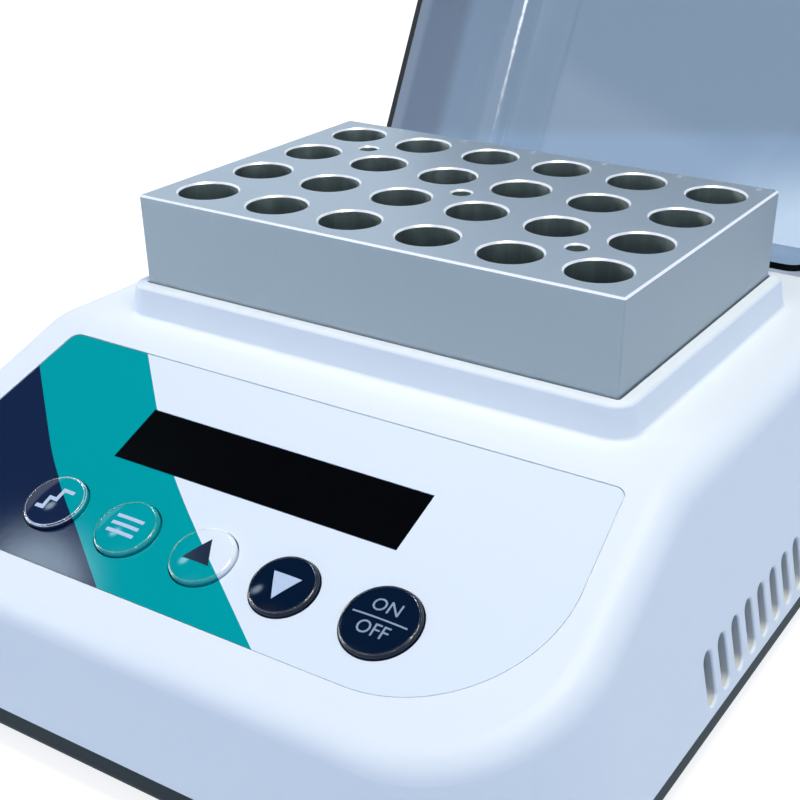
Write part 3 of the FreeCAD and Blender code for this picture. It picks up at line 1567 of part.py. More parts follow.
def rocker():
    """The rocker, stored with its lower end pressed: a shallow V face and two pivots."""
    y, z = rocker_pivot()
    half = ROCKER_HEIGHT / 2
    tilt = math.radians(ROCKER_TILT_DEG)
    face = ROCKER_DEPTH / 2 + ROCKER_PROUD
    end = face + half * math.tan(tilt) * 0.5
    back = -ROCKER_DEPTH / 2
    points = [
        V(0, back, -half + ROCKER_CHAMFER),
        V(0, back + ROCKER_CHAMFER, -half),
        V(0, end, -half),
        V(0, face - ROCKER_DISH, 0),
        V(0, end, half),
        V(0, back + ROCKER_CHAMFER, half),
        V(0, back, half - ROCKER_CHAMFER),
        V(0, back, -half + ROCKER_CHAMFER),
    ]
    body = Part.Face(Part.makePolygon(points)).extrude(V(ROCKER_WIDTH, 0, 0))
    body.translate(V(-ROCKER_WIDTH / 2, 0, 0))
    tall = ROCKER_HEIGHT * 2
    limit = half + ROCKER_GAP / 2
    keep = bar(limit, -ROCKER_WIDTH, ROCKER_WIDTH, 0, 0).common(
        box(-ROCKER_WIDTH, ROCKER_WIDTH, -tall, tall, -half, half)
    )
    body = body.common(keep)
    reach = ROCKER_WIDTH / 2 + ROCKER_PIVOT_LENGTH
    body = body.fuse(bar(ROCKER_PIVOT_R, -reach, reach, 0, 0)).removeSplitter()
    body.Placement = FreeCAD.Placement(
        V(SWITCH_X, y, z), FreeCAD.Rotation(X_AXIS, -ROCKER_TILT_DEG)
    )
    return body


# ---------------------------------------------------------------- lid


def lid_form(inset):
    """The lid's closed form, drawn in by an even inset, in its closed place."""
    taper = math.tan(math.radians(LID_DRAFT_DEG))
    low = TOP_Z + LID_SEAT_GAP - (OVER if inset else 0.0)
    high = TOP_Z + LID_SEAT_GAP + LID_DEPTH - inset
    wires = []
    for z in (low, high):
        shift = (z - TOP_Z - LID_SEAT_GAP) * taper + inset
        radius = LID_CORNER_R - inset
        wires.append(
            rectangle(
                lid_half_x - shift, lid_front_y + shift, lid_rear_y - shift, radius, radius, z
            )
        )
    form = Part.makeLoft(wires, True, True)
    crown = [e for e in form.Edges if e.BoundBox.ZMin > high - NEAR]
    return form.makeFillet(LID_CROWN_R - inset, crown)


def lid():
    """The smoked lid with two hinge barrels, turned to its open rest pose."""
    shell = lid_form(0).cut(lid_form(LID_WALL))
    for x in hinge_places:
        half = BARREL_LENGTH / 2
        barrel = bar(BARREL_R, x - half, x + half, hinge_y, hinge_z)
        web = box(
            x - half,
            x + half,
            lid_rear_y - LID_WALL,
            lid_rear_y,
            hinge_z - BARREL_R * 0.6,
            TOP_Z + LID_SEAT_GAP + WEB_RISE,
        )
        shell = shell.fuse([barrel, web]).removeSplitter()
        shell = shell.cut(bar(PIN_R + PIN_RUN_GAP, x - half - OVER, x + half + OVER, hinge_y, hinge_z))
    shell.rotate(V(0, hinge_y, hinge_z), X_AXIS, -LID_OPEN_DEG)
    return shell


def hinge_pins():
    """The two steel pins, held in the housing's cheeks."""
    reach = BARREL_LENGTH / 2 + PIN_END_GAP + PIN_GRIP - PIN_FREE_END
    return [bar(PIN_R, x - reach, x + reach, hinge_y, hinge_z) for x in hinge_places]


# ---------------------------------------------------------------- export


def export(name, shape):
    """Write one node: a single shape, or a list of separate solids."""
    if isinstance(shape, list):
        solids = [s for piece in shape for s in piece.Solids]
        shape = Part.makeCompound(solids)
    elif len(shape.Solids) == 1:
        shape = shape.Solids[0]
    shape.exportStep(os.path.join("parts", name + ".step"))
    count = len(shape.Solids)
    print(f"{name:20s} {count} solid(s)  {shape.Volume / 1000:8.2f} cm3  valid {shape.isValid()}")


def main():
    """Build every node and write it."""
    export("housing", housing())
    export("base_tray", base_tray())
    export("tray_screws", tray_screws())
    export("rubber_feet", rubber_feet())
    export("heating_block", heating_block())
    export("heater_plate", heater_plate())
    export("heater_mat", heater_mat())
    export("well_liner", well_liner())
    export("insulation_tub", insulation_tub())
    export("heater_holder", holder())
    export("holder_screws", holder_screw_set())
    export("temperature_probe", temperature_probe())
    export("thermal_cutout", thermal_cutout())
    export("panel_overlay", panel_overlay())
    export("display_lens", display_lens())
    for name, (x, radius) in keys.items():
        export(name, key_cap(x, radius))
    export("tactile_switches", tactile_switches())
    export("key_board", key_board())
    export("display_board", display_board())
    export("display_bezel", display_bezel())
    export("display_glass", display_glass())
    export("board_screws", board_screws())
    export("power_board", low_board(power_board_x0, power_board_x1))
    export("main_board", low_board(main_board_x0, main_board_x1))
    export("transformer", transformer())
    export("heat_sink", heat_sink())
    export("power_parts", power_parts())
    export("main_parts", main_parts())
    export("power_inlet", power_inlet())
    export("inlet_blades", [blade(x, z) for x, z in blade_places()])
    export("fuse_drawer", fuse_drawer())
    export("fuse", fuse())
    export("inlet_screws", inlet_screw_set())
    export("switch_frame", switch_frame())
    export("rocker", rocker())
    export("lid", lid())
    export("hinge_pins", hinge_pins())


main()
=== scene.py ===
import json
import logging
import math
from collections.abc import Mapping, Sequence
from dataclasses import dataclass, fields
from enum import Enum
from functools import cache
from typing import Any, ClassVar

import bmesh
import bpy
from mathutils import Matrix, Vector
from mathutils.bvhtree import BVHTree


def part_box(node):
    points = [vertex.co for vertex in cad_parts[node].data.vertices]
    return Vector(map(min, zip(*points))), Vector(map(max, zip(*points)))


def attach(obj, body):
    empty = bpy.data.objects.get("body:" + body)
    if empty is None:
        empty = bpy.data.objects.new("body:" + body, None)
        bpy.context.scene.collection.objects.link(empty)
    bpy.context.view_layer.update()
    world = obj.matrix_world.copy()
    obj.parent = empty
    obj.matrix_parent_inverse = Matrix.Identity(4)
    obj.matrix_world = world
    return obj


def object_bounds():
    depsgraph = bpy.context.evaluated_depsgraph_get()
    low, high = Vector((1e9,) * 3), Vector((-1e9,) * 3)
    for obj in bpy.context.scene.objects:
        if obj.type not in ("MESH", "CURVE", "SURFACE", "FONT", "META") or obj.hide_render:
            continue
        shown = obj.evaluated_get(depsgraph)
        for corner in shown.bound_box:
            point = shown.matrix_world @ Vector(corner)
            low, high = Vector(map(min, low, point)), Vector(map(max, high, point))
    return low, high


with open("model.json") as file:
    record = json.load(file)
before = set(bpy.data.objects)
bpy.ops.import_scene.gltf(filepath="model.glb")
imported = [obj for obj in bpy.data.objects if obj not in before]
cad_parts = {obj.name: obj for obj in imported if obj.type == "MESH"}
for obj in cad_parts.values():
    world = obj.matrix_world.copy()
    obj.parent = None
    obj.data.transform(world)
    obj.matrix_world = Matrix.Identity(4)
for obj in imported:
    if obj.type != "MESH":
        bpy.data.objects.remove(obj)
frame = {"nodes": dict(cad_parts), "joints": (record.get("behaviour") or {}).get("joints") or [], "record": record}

# The finishes, printing and studio of a dry block heater, laid over its solid model.
# Lengths are in metres. A size written in millimetres is multiplied by MM.

log = logging.getLogger("dry_block_heater")

MM = 0.001
CAD_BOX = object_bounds()
Colour = tuple[float, float, float]
Point = tuple[float, float]


def tone(red: float, green: float, blue: float) -> Colour:
    """A linear colour from the display values of its channels.

    Args:
        red: Red, 0 to 255.
        green: Green, 0 to 255.
        blue: Blue, 0 to 255.

    Returns:
        The three linear channels, 0 to 1.
    """

    def linear(value: float) -> float:
        """One channel."""
        share = value / 255
        return share / 12.92 if share <= 0.04045 else ((share + 0.055) / 1.055) ** 2.4

    return linear(red), linear(green), linear(blue)


def opaque(colour: Colour) -> tuple[float, float, float, float]:
    """A colour with the full alpha that Blender's colour sockets take."""
    return (*colour, 1.0)


# ------------------------------------------------------------------ node trees


class Wiring:
    """Adds, sets and joins the nodes of one shader or geometry tree."""

    def __init__(self, tree: bpy.types.NodeTree) -> None:
        """Starts on a tree.

        Args:
            tree: The tree to write in.
        """
        self.tree = tree

    def feed(self, socket: bpy.types.NodeSocket, value: Any) -> None:
        """Joins an output to an input, or sets the input's value.

        Args:
            socket: The input.
            value: An output socket, or a plain value.
        """
        if isinstance(value, bpy.types.NodeSocket):
            self.tree.links.new(value, socket)
        else:
            socket.default_value = value

    def node(
        self, kind: str, inputs: Mapping[str | int, Any] | None = None, **settings: Any
    ) -> bpy.types.Node:
        """Adds a node.

        Args:
            kind: Blender's name of the node's type.
            inputs: What its inputs get, by name or place.
            **settings: The node's own options.

        Returns:
            The node.
        """
        made = self.tree.nodes.new(kind)
        for key, value in settings.items():
            setattr(made, key, value)
        for key, value in (inputs or {}).items():
            self.feed(made.inputs[key], value)
        return made

    def math(self, operation: str, *values: Any) -> bpy.types.NodeSocket:
        """The result of one sum on numbers."""
        kind = "ShaderNodeMath"
        return self.node(kind, dict(enumerate(values)), operation=operation).outputs[0]

    def vector(self, operation: str, *values: Any) -> bpy.types.Node:
        """A node that does one sum on vectors."""
        return self.node("ShaderNodeVectorMath", dict(enumerate(values)), operation=operation)

    def noise(
        self, place: Any, scale: Any, detail: float = 2.0, roughness: float = 0.5
    ) -> bpy.types.NodeSocket:
        """The value of a noise field, 0 to 1.

        Args:
            place: Where it is read.
            scale: Waves per metre.
            detail: How many finer layers it has.
            roughness: How strong those layers are.

        Returns:
            The value socket.
        """
        inputs = {"Vector": place, "Scale": scale, "Detail": detail, "Roughness": roughness}
        return self.node("ShaderNodeTexNoise", inputs).outputs["Fac"]

    def blend(self, share: Any, low: Any, high: Any) -> bpy.types.NodeSocket:
        """A colour between two.

        Args:
            share: How far from the first to the second, 0 to 1.
            low: The first.
            high: The second.

        Returns:
            The colour's socket.
        """
        made = self.node("ShaderNodeMix", data_type="RGBA")
        self.feed(made.inputs["Factor"], share)
        self.feed(made.inputs[6], low)
        self.feed(made.inputs[7], high)
        return made.outputs[2]

    def between(self, share: Any, low: Any, high: Any) -> bpy.types.NodeSocket:
        """A number between two.

        Args:
            share: How far from the first to the second, 0 to 1.
            low: The first.
            high: The second.

        Returns:
            The number's socket.
        """
        made = self.node("ShaderNodeMix", data_type="FLOAT")
        self.feed(made.inputs["Factor"], share)
        self.feed(made.inputs[2], low)
        self.feed(made.inputs[3], high)
        return made.outputs[0]

    def span(self, value: Any, low: float, high: float) -> bpy.types.NodeSocket:
        """How far a number is from low to high, held at 0 and 1."""
        inputs = {0: value, 1: low, 2: high, 3: 0.0, 4: 1.0}
        return self.node("ShaderNodeMapRange", inputs, clamp=True).outputs[0]


class SocketKind(Enum):
    """The kinds of socket that the groups have."""

    NUMBER = "NodeSocketFloat"
    PLACE = "NodeSocketVector"
    TINT = "NodeSocketColor"
    MESH = "NodeSocketGeometry"
    COUNT = "NodeSocketInt"
    FINISH = "NodeSocketMaterial"


@dataclass(frozen=True)
class Port:
    """One named input or output of a node group."""

    name: str
    kind: SocketKind = SocketKind.NUMBER


def group_with(
    name: str, kind: str, inputs: Sequence[Port], outputs: Sequence[Port]
) -> tuple[Wiring, dict[str, bpy.types.NodeSocket], bpy.types.Node]:
    """An empty node group with named sockets.

    Args:
        name: The group's name.
        kind: ShaderNodeTree or GeometryNodeTree.
        inputs: Its inputs.
        outputs: Its outputs.

    Returns:
        The wiring, the inputs' sockets by name, and the output node.
    """
    tree = bpy.data.node_groups.new(name, kind)
    for port in inputs:
        tree.interface.new_socket(port.name, in_out="INPUT", socket_type=port.kind.value)
    for port in outputs:
        tree.interface.new_socket(port.name, in_out="OUTPUT", socket_type=port.kind.value)
    wiring = Wiring(tree)
    given = wiring.node("NodeGroupInput")
    result = wiring.node("NodeGroupOutput")
    return wiring, {port.name: given.outputs[port.name] for port in inputs}, result


# ------------------------------------------------------------------ shared shader effects


# How much the slow waves of a moulded skin count against its grain.
WAVE_WEIGHT = 1.5
# Handling marks: the smears' stretch and scale, the specks' scale, and the specks' share.
SMEAR_STRETCH = (1.0, 2.4, 1.6)
SMEARS_PER_METRE = 34.0
SPECKS_PER_METRE = 900.0
SPECK_SHARE = 0.2
# Blasted metal: the patches' scale next to that of the pits, and the patches' share.
PATCH_SCALE = 0.12
PATCH_SHARE = 0.3


@cache
def moulded_skin() -> bpy.types.NodeTree:
    """The faint texture of moulded plastic: a fine grain on a slow waviness.

    Returns:
        The group.
    """
    ports = [Port("Place", SocketKind.PLACE), Port("Grain Size"), Port("Wave Size")]
    wiring, given, result = group_with("moulded_skin", "ShaderNodeTree", ports, [Port("Height")])
    grain = wiring.noise(given["Place"], wiring.math("DIVIDE", 1.0, given["Grain Size"]), detail=3.0)
    wave = wiring.noise(given["Place"], wiring.math("DIVIDE", 1.0, given["Wave Size"]), detail=1.0)
    swell = wiring.math("MULTIPLY", wave, WAVE_WEIGHT)
    wiring.feed(result.inputs["Height"], wiring.math("ADD", grain, swell))
    return wiring.tree


@cache
def handling_marks() -> bpy.types.NodeTree:
    """Roughness that varies as on a thing that is wiped and touched.

    Returns:
        The group.
    """
    ports = [Port("Place", SocketKind.PLACE), Port("Roughness"), Port("Spread")]
    outputs = [Port("Roughness"), Port("Cloud")]
    wiring, given, result = group_with("handling_marks", "ShaderNodeTree", ports, outputs)
    smear = wiring.vector("MULTIPLY", given["Place"], SMEAR_STRETCH).outputs[0]
    cloud = wiring.noise(smear, SMEARS_PER_METRE, detail=4.0, roughness=0.6)
    fine = wiring.noise(given["Place"], SPECKS_PER_METRE)
    both = wiring.between(SPECK_SHARE, cloud, fine)
    shift = wiring.math("MULTIPLY", wiring.math("SUBTRACT", both, 0.5), given["Spread"])
    wiring.feed(result.inputs["Roughness"], wiring.math("ADD", given["Roughness"], shift))
    wiring.feed(result.inputs["Cloud"], cloud)
    return wiring.tree


@cache
def blasted_grain() -> bpy.types.NodeTree:
    """The fine even speckle of bead-blasted, anodised metal.

    Returns:
        The group.
    """
    ports = [Port("Place", SocketKind.PLACE), Port("Grain Size")]
    outputs = [Port("Height"), Port("Speckle")]
    wiring, given, result = group_with("blasted_grain", "ShaderNodeTree", ports, outputs)
    scale = wiring.math("DIVIDE", 1.0, given["Grain Size"])
    pits = wiring.noise(given["Place"], scale, roughness=0.6)
    patch = wiring.noise(given["Place"], wiring.math("MULTIPLY", scale, PATCH_SCALE))
    wiring.feed(result.inputs["Height"], pits)
    wiring.feed(result.inputs["Speckle"], wiring.between(PATCH_SHARE, pits, patch))
    return wiring.tree


@cache
def drawn_lines() -> bpy.types.NodeTree:
    """Long fine lines, as a cutter or a drawing die leaves them.

    Returns:
        The group.
    """
    ports = [Port("Place", SocketKind.PLACE), Port("Stretch", SocketKind.PLACE), Port("Line Width")]
    wiring, given, result = group_with("drawn_lines", "ShaderNodeTree", ports, [Port("Height")])
    stretched = wiring.vector("MULTIPLY", given["Place"], given["Stretch"]).outputs[0]
    scale = wiring.math("DIVIDE", 1.0, given["Line Width"])
    lines = wiring.noise(stretched, scale, detail=3.0, roughness=0.65)
    wiring.feed(result.inputs["Height"], lines)
    return wiring.tree


# ------------------------------------------------------------------ finishes


def emptied(block: bpy.types.Material | bpy.types.World) -> Wiring:
    """Turns a material or a world to nodes, and clears them.

    Args:
        block: The material or the world.

    Returns:
        The wiring of its tree.
    """
    block.use_nodes = True
    block.node_tree.nodes.clear()
    return Wiring(block.node_tree)


@dataclass(frozen=True)
class Surface:
    """A material in the making: its nodes, its Principled BSDF and object coordinates."""

    wiring: Wiring
    shader: bpy.types.Node
    place: bpy.types.NodeSocket

    def give(self, name: str, value: Any) -> None:
        """Joins an output to an input of the shader, or sets the input."""
        self.wiring.feed(self.shader.inputs[name], value)

    def given(self, name: str) -> bpy.types.NodeSocket:
        """What an input of the shader is joined to by now."""
        return self.shader.inputs[name].links[0].from_socket

    def effect(self, tree: bpy.types.NodeTree, **inputs: Any) -> bpy.types.Node:
        """Puts a shared effect in the material.

        Args:
            tree: The effect's group.
            **inputs: Its inputs besides the place, with underscores for spaces.

        Returns:
            The group's node.
        """
        made = self.wiring.node("ShaderNodeGroup", {"Place": self.place}, node_tree=tree)
        for key, value in inputs.items():
            self.wiring.feed(made.inputs[key.replace("_", " ")], value)
        return made

    def relieve(self, effect: bpy.types.Node, relief: float, depth: float) -> None:
        """Gives the surface the height that an effect puts out.

        Args:
            effect: The effect's node.
            relief: How much of the height shows, 0 to 1.
            depth: The full height in metres.
        """
        inputs = {"Height": effect.outputs["Height"], "Strength": relief, "Distance": depth}
        self.give("Normal", self.wiring.node("ShaderNodeBump", inputs).outputs["Normal"])

    def mark(self, roughness: float, spread: float) -> bpy.types.Node:
        """Lets the roughness vary with handling marks.

        Args:
            roughness: The value that it varies round.
            spread: How far up and down it goes.

        Returns:
            The marks' node.
        """
        marks = self.effect(handling_marks(), Roughness=roughness, Spread=spread)
        self.give("Roughness", marks.outputs["Roughness"])
        return marks


@dataclass(frozen=True)
class Finish:
    """What every finish has."""

    name: str
    colour: Colour
    roughness: float

    def wire(self, surface: Surface) -> None:
        """Joins the finish's own nodes to the shader. A plain finish has none.

        Args:
            surface: The material in the making.
        """

    def material(self) -> bpy.types.Material:
        """The material of this finish, made once.

        Returns:
            The material.
        """
        known = bpy.data.materials.get(self.name)
        if known is not None:
            return known
        made = bpy.data.materials.new(self.name)
        wiring = emptied(made)
        result = wiring.node("ShaderNodeOutputMaterial")
        shader = wiring.node("ShaderNodeBsdfPrincipled")
        wiring.feed(result.inputs["Surface"], shader.outputs["BSDF"])
        surface = Surface(wiring, shader, wiring.node("ShaderNodeTexCoord").outputs["Object"])
        surface.give("Base Color", opaque(self.colour))
        surface.give("Roughness", self.roughness)
        self.wire(surface)
        made.diffuse_color = opaque(self.colour)
        return made

    def scaled(self, factor: float) -> tuple[float, float, float, float]:
        """The colour made darker or lighter, for a socket."""
        return opaque(tuple(min(1.0, channel * factor) for channel in self.colour))


# How far a side wall's normal points along X at least, and along Y at most.
SIDEWAYS = 0.8
SQUARE_ON = 0.01


def side_plane(node: str) -> tuple[Vector, float]:
    """The plane of a node's largest flat face towards +X.

    Args:
        node: The node's name.

    Returns:
        The face's direction, and the plane's distance from the origin along it.
    """
    faces = frame["nodes"][node].data.polygons
    largest = max(
        (f for f in faces if f.normal.x > SIDEWAYS and abs(f.normal.y) < SQUARE_ON and f.center.x > 0),
        key=lambda face: face.area,
    )
    return largest.normal.copy(), largest.normal.dot(largest.center)


@dataclass(frozen=True)
class SkinnedFinish(Finish):
    """A finish with a fine skin, slow waviness and handling marks."""

    grain: float = 0.25 * MM
    wave: float = 9.0 * MM
    relief: float = 0.02
    depth: float = 0.1 * MM
    spread: float = 0.12

    def skin(self, surface: Surface) -> bpy.types.Node:
        """Skin to the bump and marks to the roughness.

        Args:
            surface: The material in the making.

        Returns:
            The marks' node.
        """
        skin = surface.effect(moulded_skin(), Grain_Size=self.grain, Wave_Size=self.wave)
        surface.relieve(skin, self.relief, self.depth)
        return surface.mark(self.roughness, self.spread)


@dataclass(frozen=True)
class MouldedPlastic(SkinnedFinish):
    """Moulded plastic, whose colour drifts slightly."""

    shade: float = 0.04
    shine: float = 0.5

    def wire(self, surface: Surface) -> None:
        """The skin, and a slight drift of colour.

        Args:
            surface: The material in the making.
        """
        cloud = self.skin(surface).outputs["Cloud"]
        darker = self.scaled(1 - self.shade)
        surface.give("Base Color", surface.wiring.blend(cloud, darker, opaque(self.colour)))
        surface.give("Specular IOR Level", self.shine)


@dataclass(frozen=True)
class VentShadedShell(MouldedPlastic):
    """Moulded plastic whose inside, seen through the vents, is painted grey as painted shade."""

    node: str = ""
    # Painted shade: the grey of the vents' inner walls, and how far under the outer face it starts.
    coat: Colour = (0.66, 0.68, 0.66)
    coat_below: float = 0.55 * MM
    vent_band: tuple[float, float] = (10.6 * MM, 24.0 * MM)
    vent_length: tuple[float, float] = (-66.0 * MM, 36.0 * MM)

    def wire(self, surface: Surface) -> None:
        """The moulded skin, and painted shade on the vents' inner walls, deeper than the side walls' outer faces.

        Args:
            surface: The material in the making.
        """
        super().wire(surface)
        wiring = surface.wiring
        out, reach = side_plane(self.node)
        parts = wiring.node("ShaderNodeSeparateXYZ", {0: surface.place}).outputs
        beside = wiring.math("MULTIPLY", wiring.math("ABSOLUTE", parts["X"]), out.x)
        level = wiring.math("ADD", beside, wiring.math("MULTIPLY", parts["Z"], out.z))
        # Painted shade: the vents' inner walls, deeper than the outer face, are painted grey.
        painted_shade_mask = wiring.math("LESS_THAN", level, reach - self.coat_below)
        for axis, (start, end) in (("Z", self.vent_band), ("Y", self.vent_length)):
            after = wiring.math("GREATER_THAN", parts[axis], start)
            before = wiring.math("LESS_THAN", parts[axis], end)
            painted_shade_mask = wiring.math("MULTIPLY", painted_shade_mask, wiring.math("MULTIPLY", after, before))
        colour = surface.given("Base Color")
        surface.give("Base Color", wiring.blend(painted_shade_mask, colour, opaque(self.coat)))


@dataclass(frozen=True)
class BlastedMetal(Finish):
    """Bead-blasted, anodised metal."""

    grain: float = 0.12 * MM
    relief: float = 0.12
    depth: float = 0.02 * MM
    contrast: float = 0.12
    spread: float = 0.1
    metallic: float = 1.0

    def wire(self, surface: Surface) -> None:
        """Speckle to the colour and the bump, marks to the roughness.

        Args:
            surface: The material in the making.
        """
        grain = surface.effect(blasted_grain(), Grain_Size=self.grain)
        surface.relieve(grain, self.relief, self.depth)
        darker, lighter = self.scaled(1 - self.contrast), self.scaled(1 + self.contrast)
        colour = surface.wiring.blend(grain.outputs["Speckle"], darker, lighter)
        surface.give("Base Color", colour)
        surface.give("Metallic", self.metallic)
        surface.mark(self.roughness, self.spread)


@dataclass(frozen=True)
class BoredBlockMetal(BlastedMetal):
    """Blasted metal with painted light: darker bores as painted shade, a lighter top face as painted sheen, and
    near-white cut upper edges, partly the bare cut metal and partly a painted highlight.
    """

    node: str = ""
    cut_depth: float = 0.4 * MM
    top_skin: float = 0.02 * MM
    side_skin: float = 1.2 * MM
    # Painted sheen: the top face's colour, lighter than the sides'.
    face: Colour = (0.43, 0.525, 0.61)
    # Painted highlight on the cut upper edges, partly the bare cut metal.
    bright: Colour = (0.97, 0.98, 1.0)
    cut_roughness: float = 0.3
    cut_metallic: float = 0.15
    # Painted shade: the darker colour inside the bores, with lighter streaks.
    bore: Colour = (0.32, 0.385, 0.385)
    bore_streak: Colour = (0.43, 0.51, 0.51)
    bore_roughness: float = 0.38
    streak: float = 2.4 * MM
    streak_stretch: tuple[float, float, float] = (1.0, 1.0, 0.04)
    streak_range: tuple[float, float] = (0.4, 0.75)
    # Lighter painted shade for the shallow small holes.
    small_bore: Colour = (0.48, 0.57, 0.56)
    small_reach: float = 3.2 * MM
    small_holes: tuple[Point, ...] = ((-36.0, 4.4), (0.0, -13.6), (36.0, -31.6))

    def near_small_holes(self, surface: Surface) -> Any:
        """Where the small holes are.

        Args:
            surface: The material in the making.

        Returns:
            A socket that is 1 within reach of a small hole's axis, and 0 elsewhere.
        """
        wiring = surface.wiring
        flat = wiring.vector("MULTIPLY", surface.place, (1.0, 1.0, 0.0)).outputs[0]
        near: Any = 0.0
        for x, y in self.small_holes:
            gap = wiring.vector("DISTANCE", flat, (x * MM, y * MM, 0.0)).outputs["Value"]
            near = wiring.math("MAXIMUM", near, wiring.math("LESS_THAN", gap, self.small_reach))
        return near

    def masks(self, surface: Surface) -> tuple[Any, Any, Any]:
        """Where the cut edges, the bores and the top face are.

        Args:
            surface: The material in the making.

        Returns:
            Three sockets, each 1 inside its part of the block.
        """
        wiring = surface.wiring
        low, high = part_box(self.node)
        middle = (low + high) / 2
        half = (high - low) / 2
        away = wiring.vector("SUBTRACT", surface.place, (middle.x, middle.y, 0.0)).outputs[0]
        parts = wiring.node("ShaderNodeSeparateXYZ", {0: away}).outputs
        above = wiring.math("GREATER_THAN", parts["Z"], high.z - self.cut_depth)
        on_top = wiring.math("GREATER_THAN", parts["Z"], high.z - self.top_skin)
        cut = wiring.math("SUBTRACT", above, on_top)
        inside = wiring.math("SUBTRACT", 1.0, above)
        for axis, wall in (("X", half.x), ("Y", half.y)):
            off = wiring.math("ABSOLUTE", parts[axis])
            within = wiring.math("LESS_THAN", off, wall - self.side_skin)
            inside = wiring.math("MULTIPLY", inside, within)
        return cut, inside, on_top

    def wire(self, surface: Surface) -> None:
        """The blasted finish, the bores painted darker as painted shade with lighter streaks, the top face painted
        lighter as painted sheen, and the cut edges painted near white as a painted highlight, partly the bare cut
        metal.

        Args:
            surface: The material in the making.
        """
        super().wire(surface)
        wiring = surface.wiring
        cut, inside, on_top = self.masks(surface)
        drawn = wiring.vector("MULTIPLY", surface.place, self.streak_stretch).outputs[0]
        streaks = wiring.span(wiring.noise(drawn, 1 / self.streak), *self.streak_range)
        # Painted shade inside the bores, lighter in the shallow small holes.
        dark = wiring.blend(streaks, opaque(self.bore), opaque(self.bore_streak))
        dark = wiring.blend(self.near_small_holes(surface), dark, opaque(self.small_bore))
        blasted = surface.given("Base Color")
        # Painted sheen: the top face is painted lighter than the sides.
        top_sheen_ratio = [face / side for face, side in zip(self.face, self.colour)]
        painted_top_sheen = wiring.vector("MULTIPLY", blasted, top_sheen_ratio).outputs[0]
        colour = wiring.blend(inside, wiring.blend(on_top, blasted, painted_top_sheen), dark)
        # Painted highlight: the cut edges get a near-white colour, partly the bare cut metal.
        surface.give("Base Color", wiring.blend(cut, colour, opaque(self.bright)))
        bored = wiring.between(inside, surface.given("Roughness"), self.bore_roughness)
        surface.give("Roughness", wiring.between(cut, bored, self.cut_roughness))
        metal = wiring.between(inside, self.metallic, 1.0)
        surface.give("Metallic", wiring.between(cut, metal, self.cut_metallic))


@dataclass(frozen=True)
class DrawnMetal(Finish):
    """Turned, milled or drawn metal with fine lines."""

    stretch: tuple[float, float, float] = (1.0, 1.0, 0.02)
    line: float = 0.1 * MM
    relief: float = 0.08
    depth: float = 0.02 * MM
    spread: float = 0.08
    contrast: float = 0.1

    def wire(self, surface: Surface) -> None:
        """Lines to the bump and the colour, marks to the roughness.

        Args:
            surface: The material in the making.
        """
        lines = surface.effect(drawn_lines(), Stretch=self.stretch, Line_Width=self.line)
        surface.relieve(lines, self.relief, self.depth)
        darker = self.scaled(1 - self.contrast)
        colour = surface.wiring.blend(lines.outputs["Height"], darker, opaque(self.colour))
        surface.give("Base Color", colour)
        surface.give("Metallic", 1.0)
        surface.mark(self.roughness, self.spread)


@dataclass(frozen=True)
class TintAndShadeStop:
    """The colour of clear plastic at one depth: its tint, with any painted shade and painted reflection laid in.
    """

    depth: float
    colour: Colour


@dataclass(frozen=True)
class ClearPlastic(SkinnedFinish):
    """Clear plastic, tinted or smoked; a moulded box may have painted shade and painted reflection laid into its
    tint from its panel outwards.
    """

    grain: float = 16.0 * MM
    wave: float = 45.0 * MM
    relief: float = 0.002
    depth: float = 0.2 * MM
    spread: float = 0.02
    ior: float = 1.49
    box: str = ""
    stops: tuple[TintAndShadeStop, ...] = ()

    def inwards(self, surface: Surface) -> bpy.types.NodeSocket:
        """How far a place lies inwards of the box's largest wall.

        Args:
            surface: The material in the making.

        Returns:
            A socket with the distance in metres.
        """
        mesh = frame["nodes"][self.box].data
        panel = max(mesh.polygons, key=lambda face: face.area)
        reach = [vertex.co.dot(panel.normal) for vertex in mesh.vertices]
        wall = panel.center.dot(panel.normal)
        inwards = panel.normal if max(reach) - wall > wall - min(reach) else -panel.normal
        start = min(vertex.co.dot(inwards) for vertex in mesh.vertices)
        along = surface.wiring.vector("DOT_PRODUCT", surface.place, tuple(inwards))
        return surface.wiring.math("SUBTRACT", along.outputs["Value"], start)

    def wire(self, surface: Surface) -> None:
        """Full transmission with a faint waviness, wiping marks, and any tints with their painted shade and
        painted reflection.

        Args:
            surface: The material in the making.
        """
        surface.give("Transmission Weight", 1.0)
        surface.give("IOR", self.ior)
        self.skin(surface)
        if self.stops:
            # By depth, painted shade and painted reflection are laid into the tint.
            depth = self.inwards(surface)
            tint: Any = opaque(self.stops[0].colour)
            for before, after in zip(self.stops, self.stops[1:]):
                share = surface.wiring.span(depth, before.depth, after.depth)
                tint = surface.wiring.blend(share, tint, opaque(after.colour))
            surface.give("Base Color", tint)


# ------------------------------------------------------------------ the panel's own frame


@dataclass(frozen=True)
class PanelFrame:
    """The sloping panel's frame: x along it, up the slope, and out of it."""

    origin: Vector
    up: Vector
    out: Vector

    @classmethod
    def found(cls) -> "PanelFrame":
        """The frame from a key's press direction and the label's box.

        Returns:
            The frame.
        """
        press = next(j for j in frame["joints"] if j["name"] == "key_up_press")
        out = -Vector(press["axis"]).normalized()
        up = Vector((1, 0, 0)).cross(out) * -1
        low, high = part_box("panel_overlay")
        return cls(Vector(((low.x + high.x) / 2, high.y, high.z)), up, out)

    def point(self, x: float, rise: float, height: float = 0.0) -> Vector:
        """A place on the panel, from distances along it, up it and out of it."""
        return self.origin + Vector((x, 0, 0)) + self.up * rise + self.out * height

    def coordinates(self, place: Vector) -> Vector:
        """The distances along, up and out of the panel of a place."""
        away = place - self.origin
        return Vector((away.x, away.dot(self.up), away.dot(self.out)))


# ------------------------------------------------------------------ the printed film


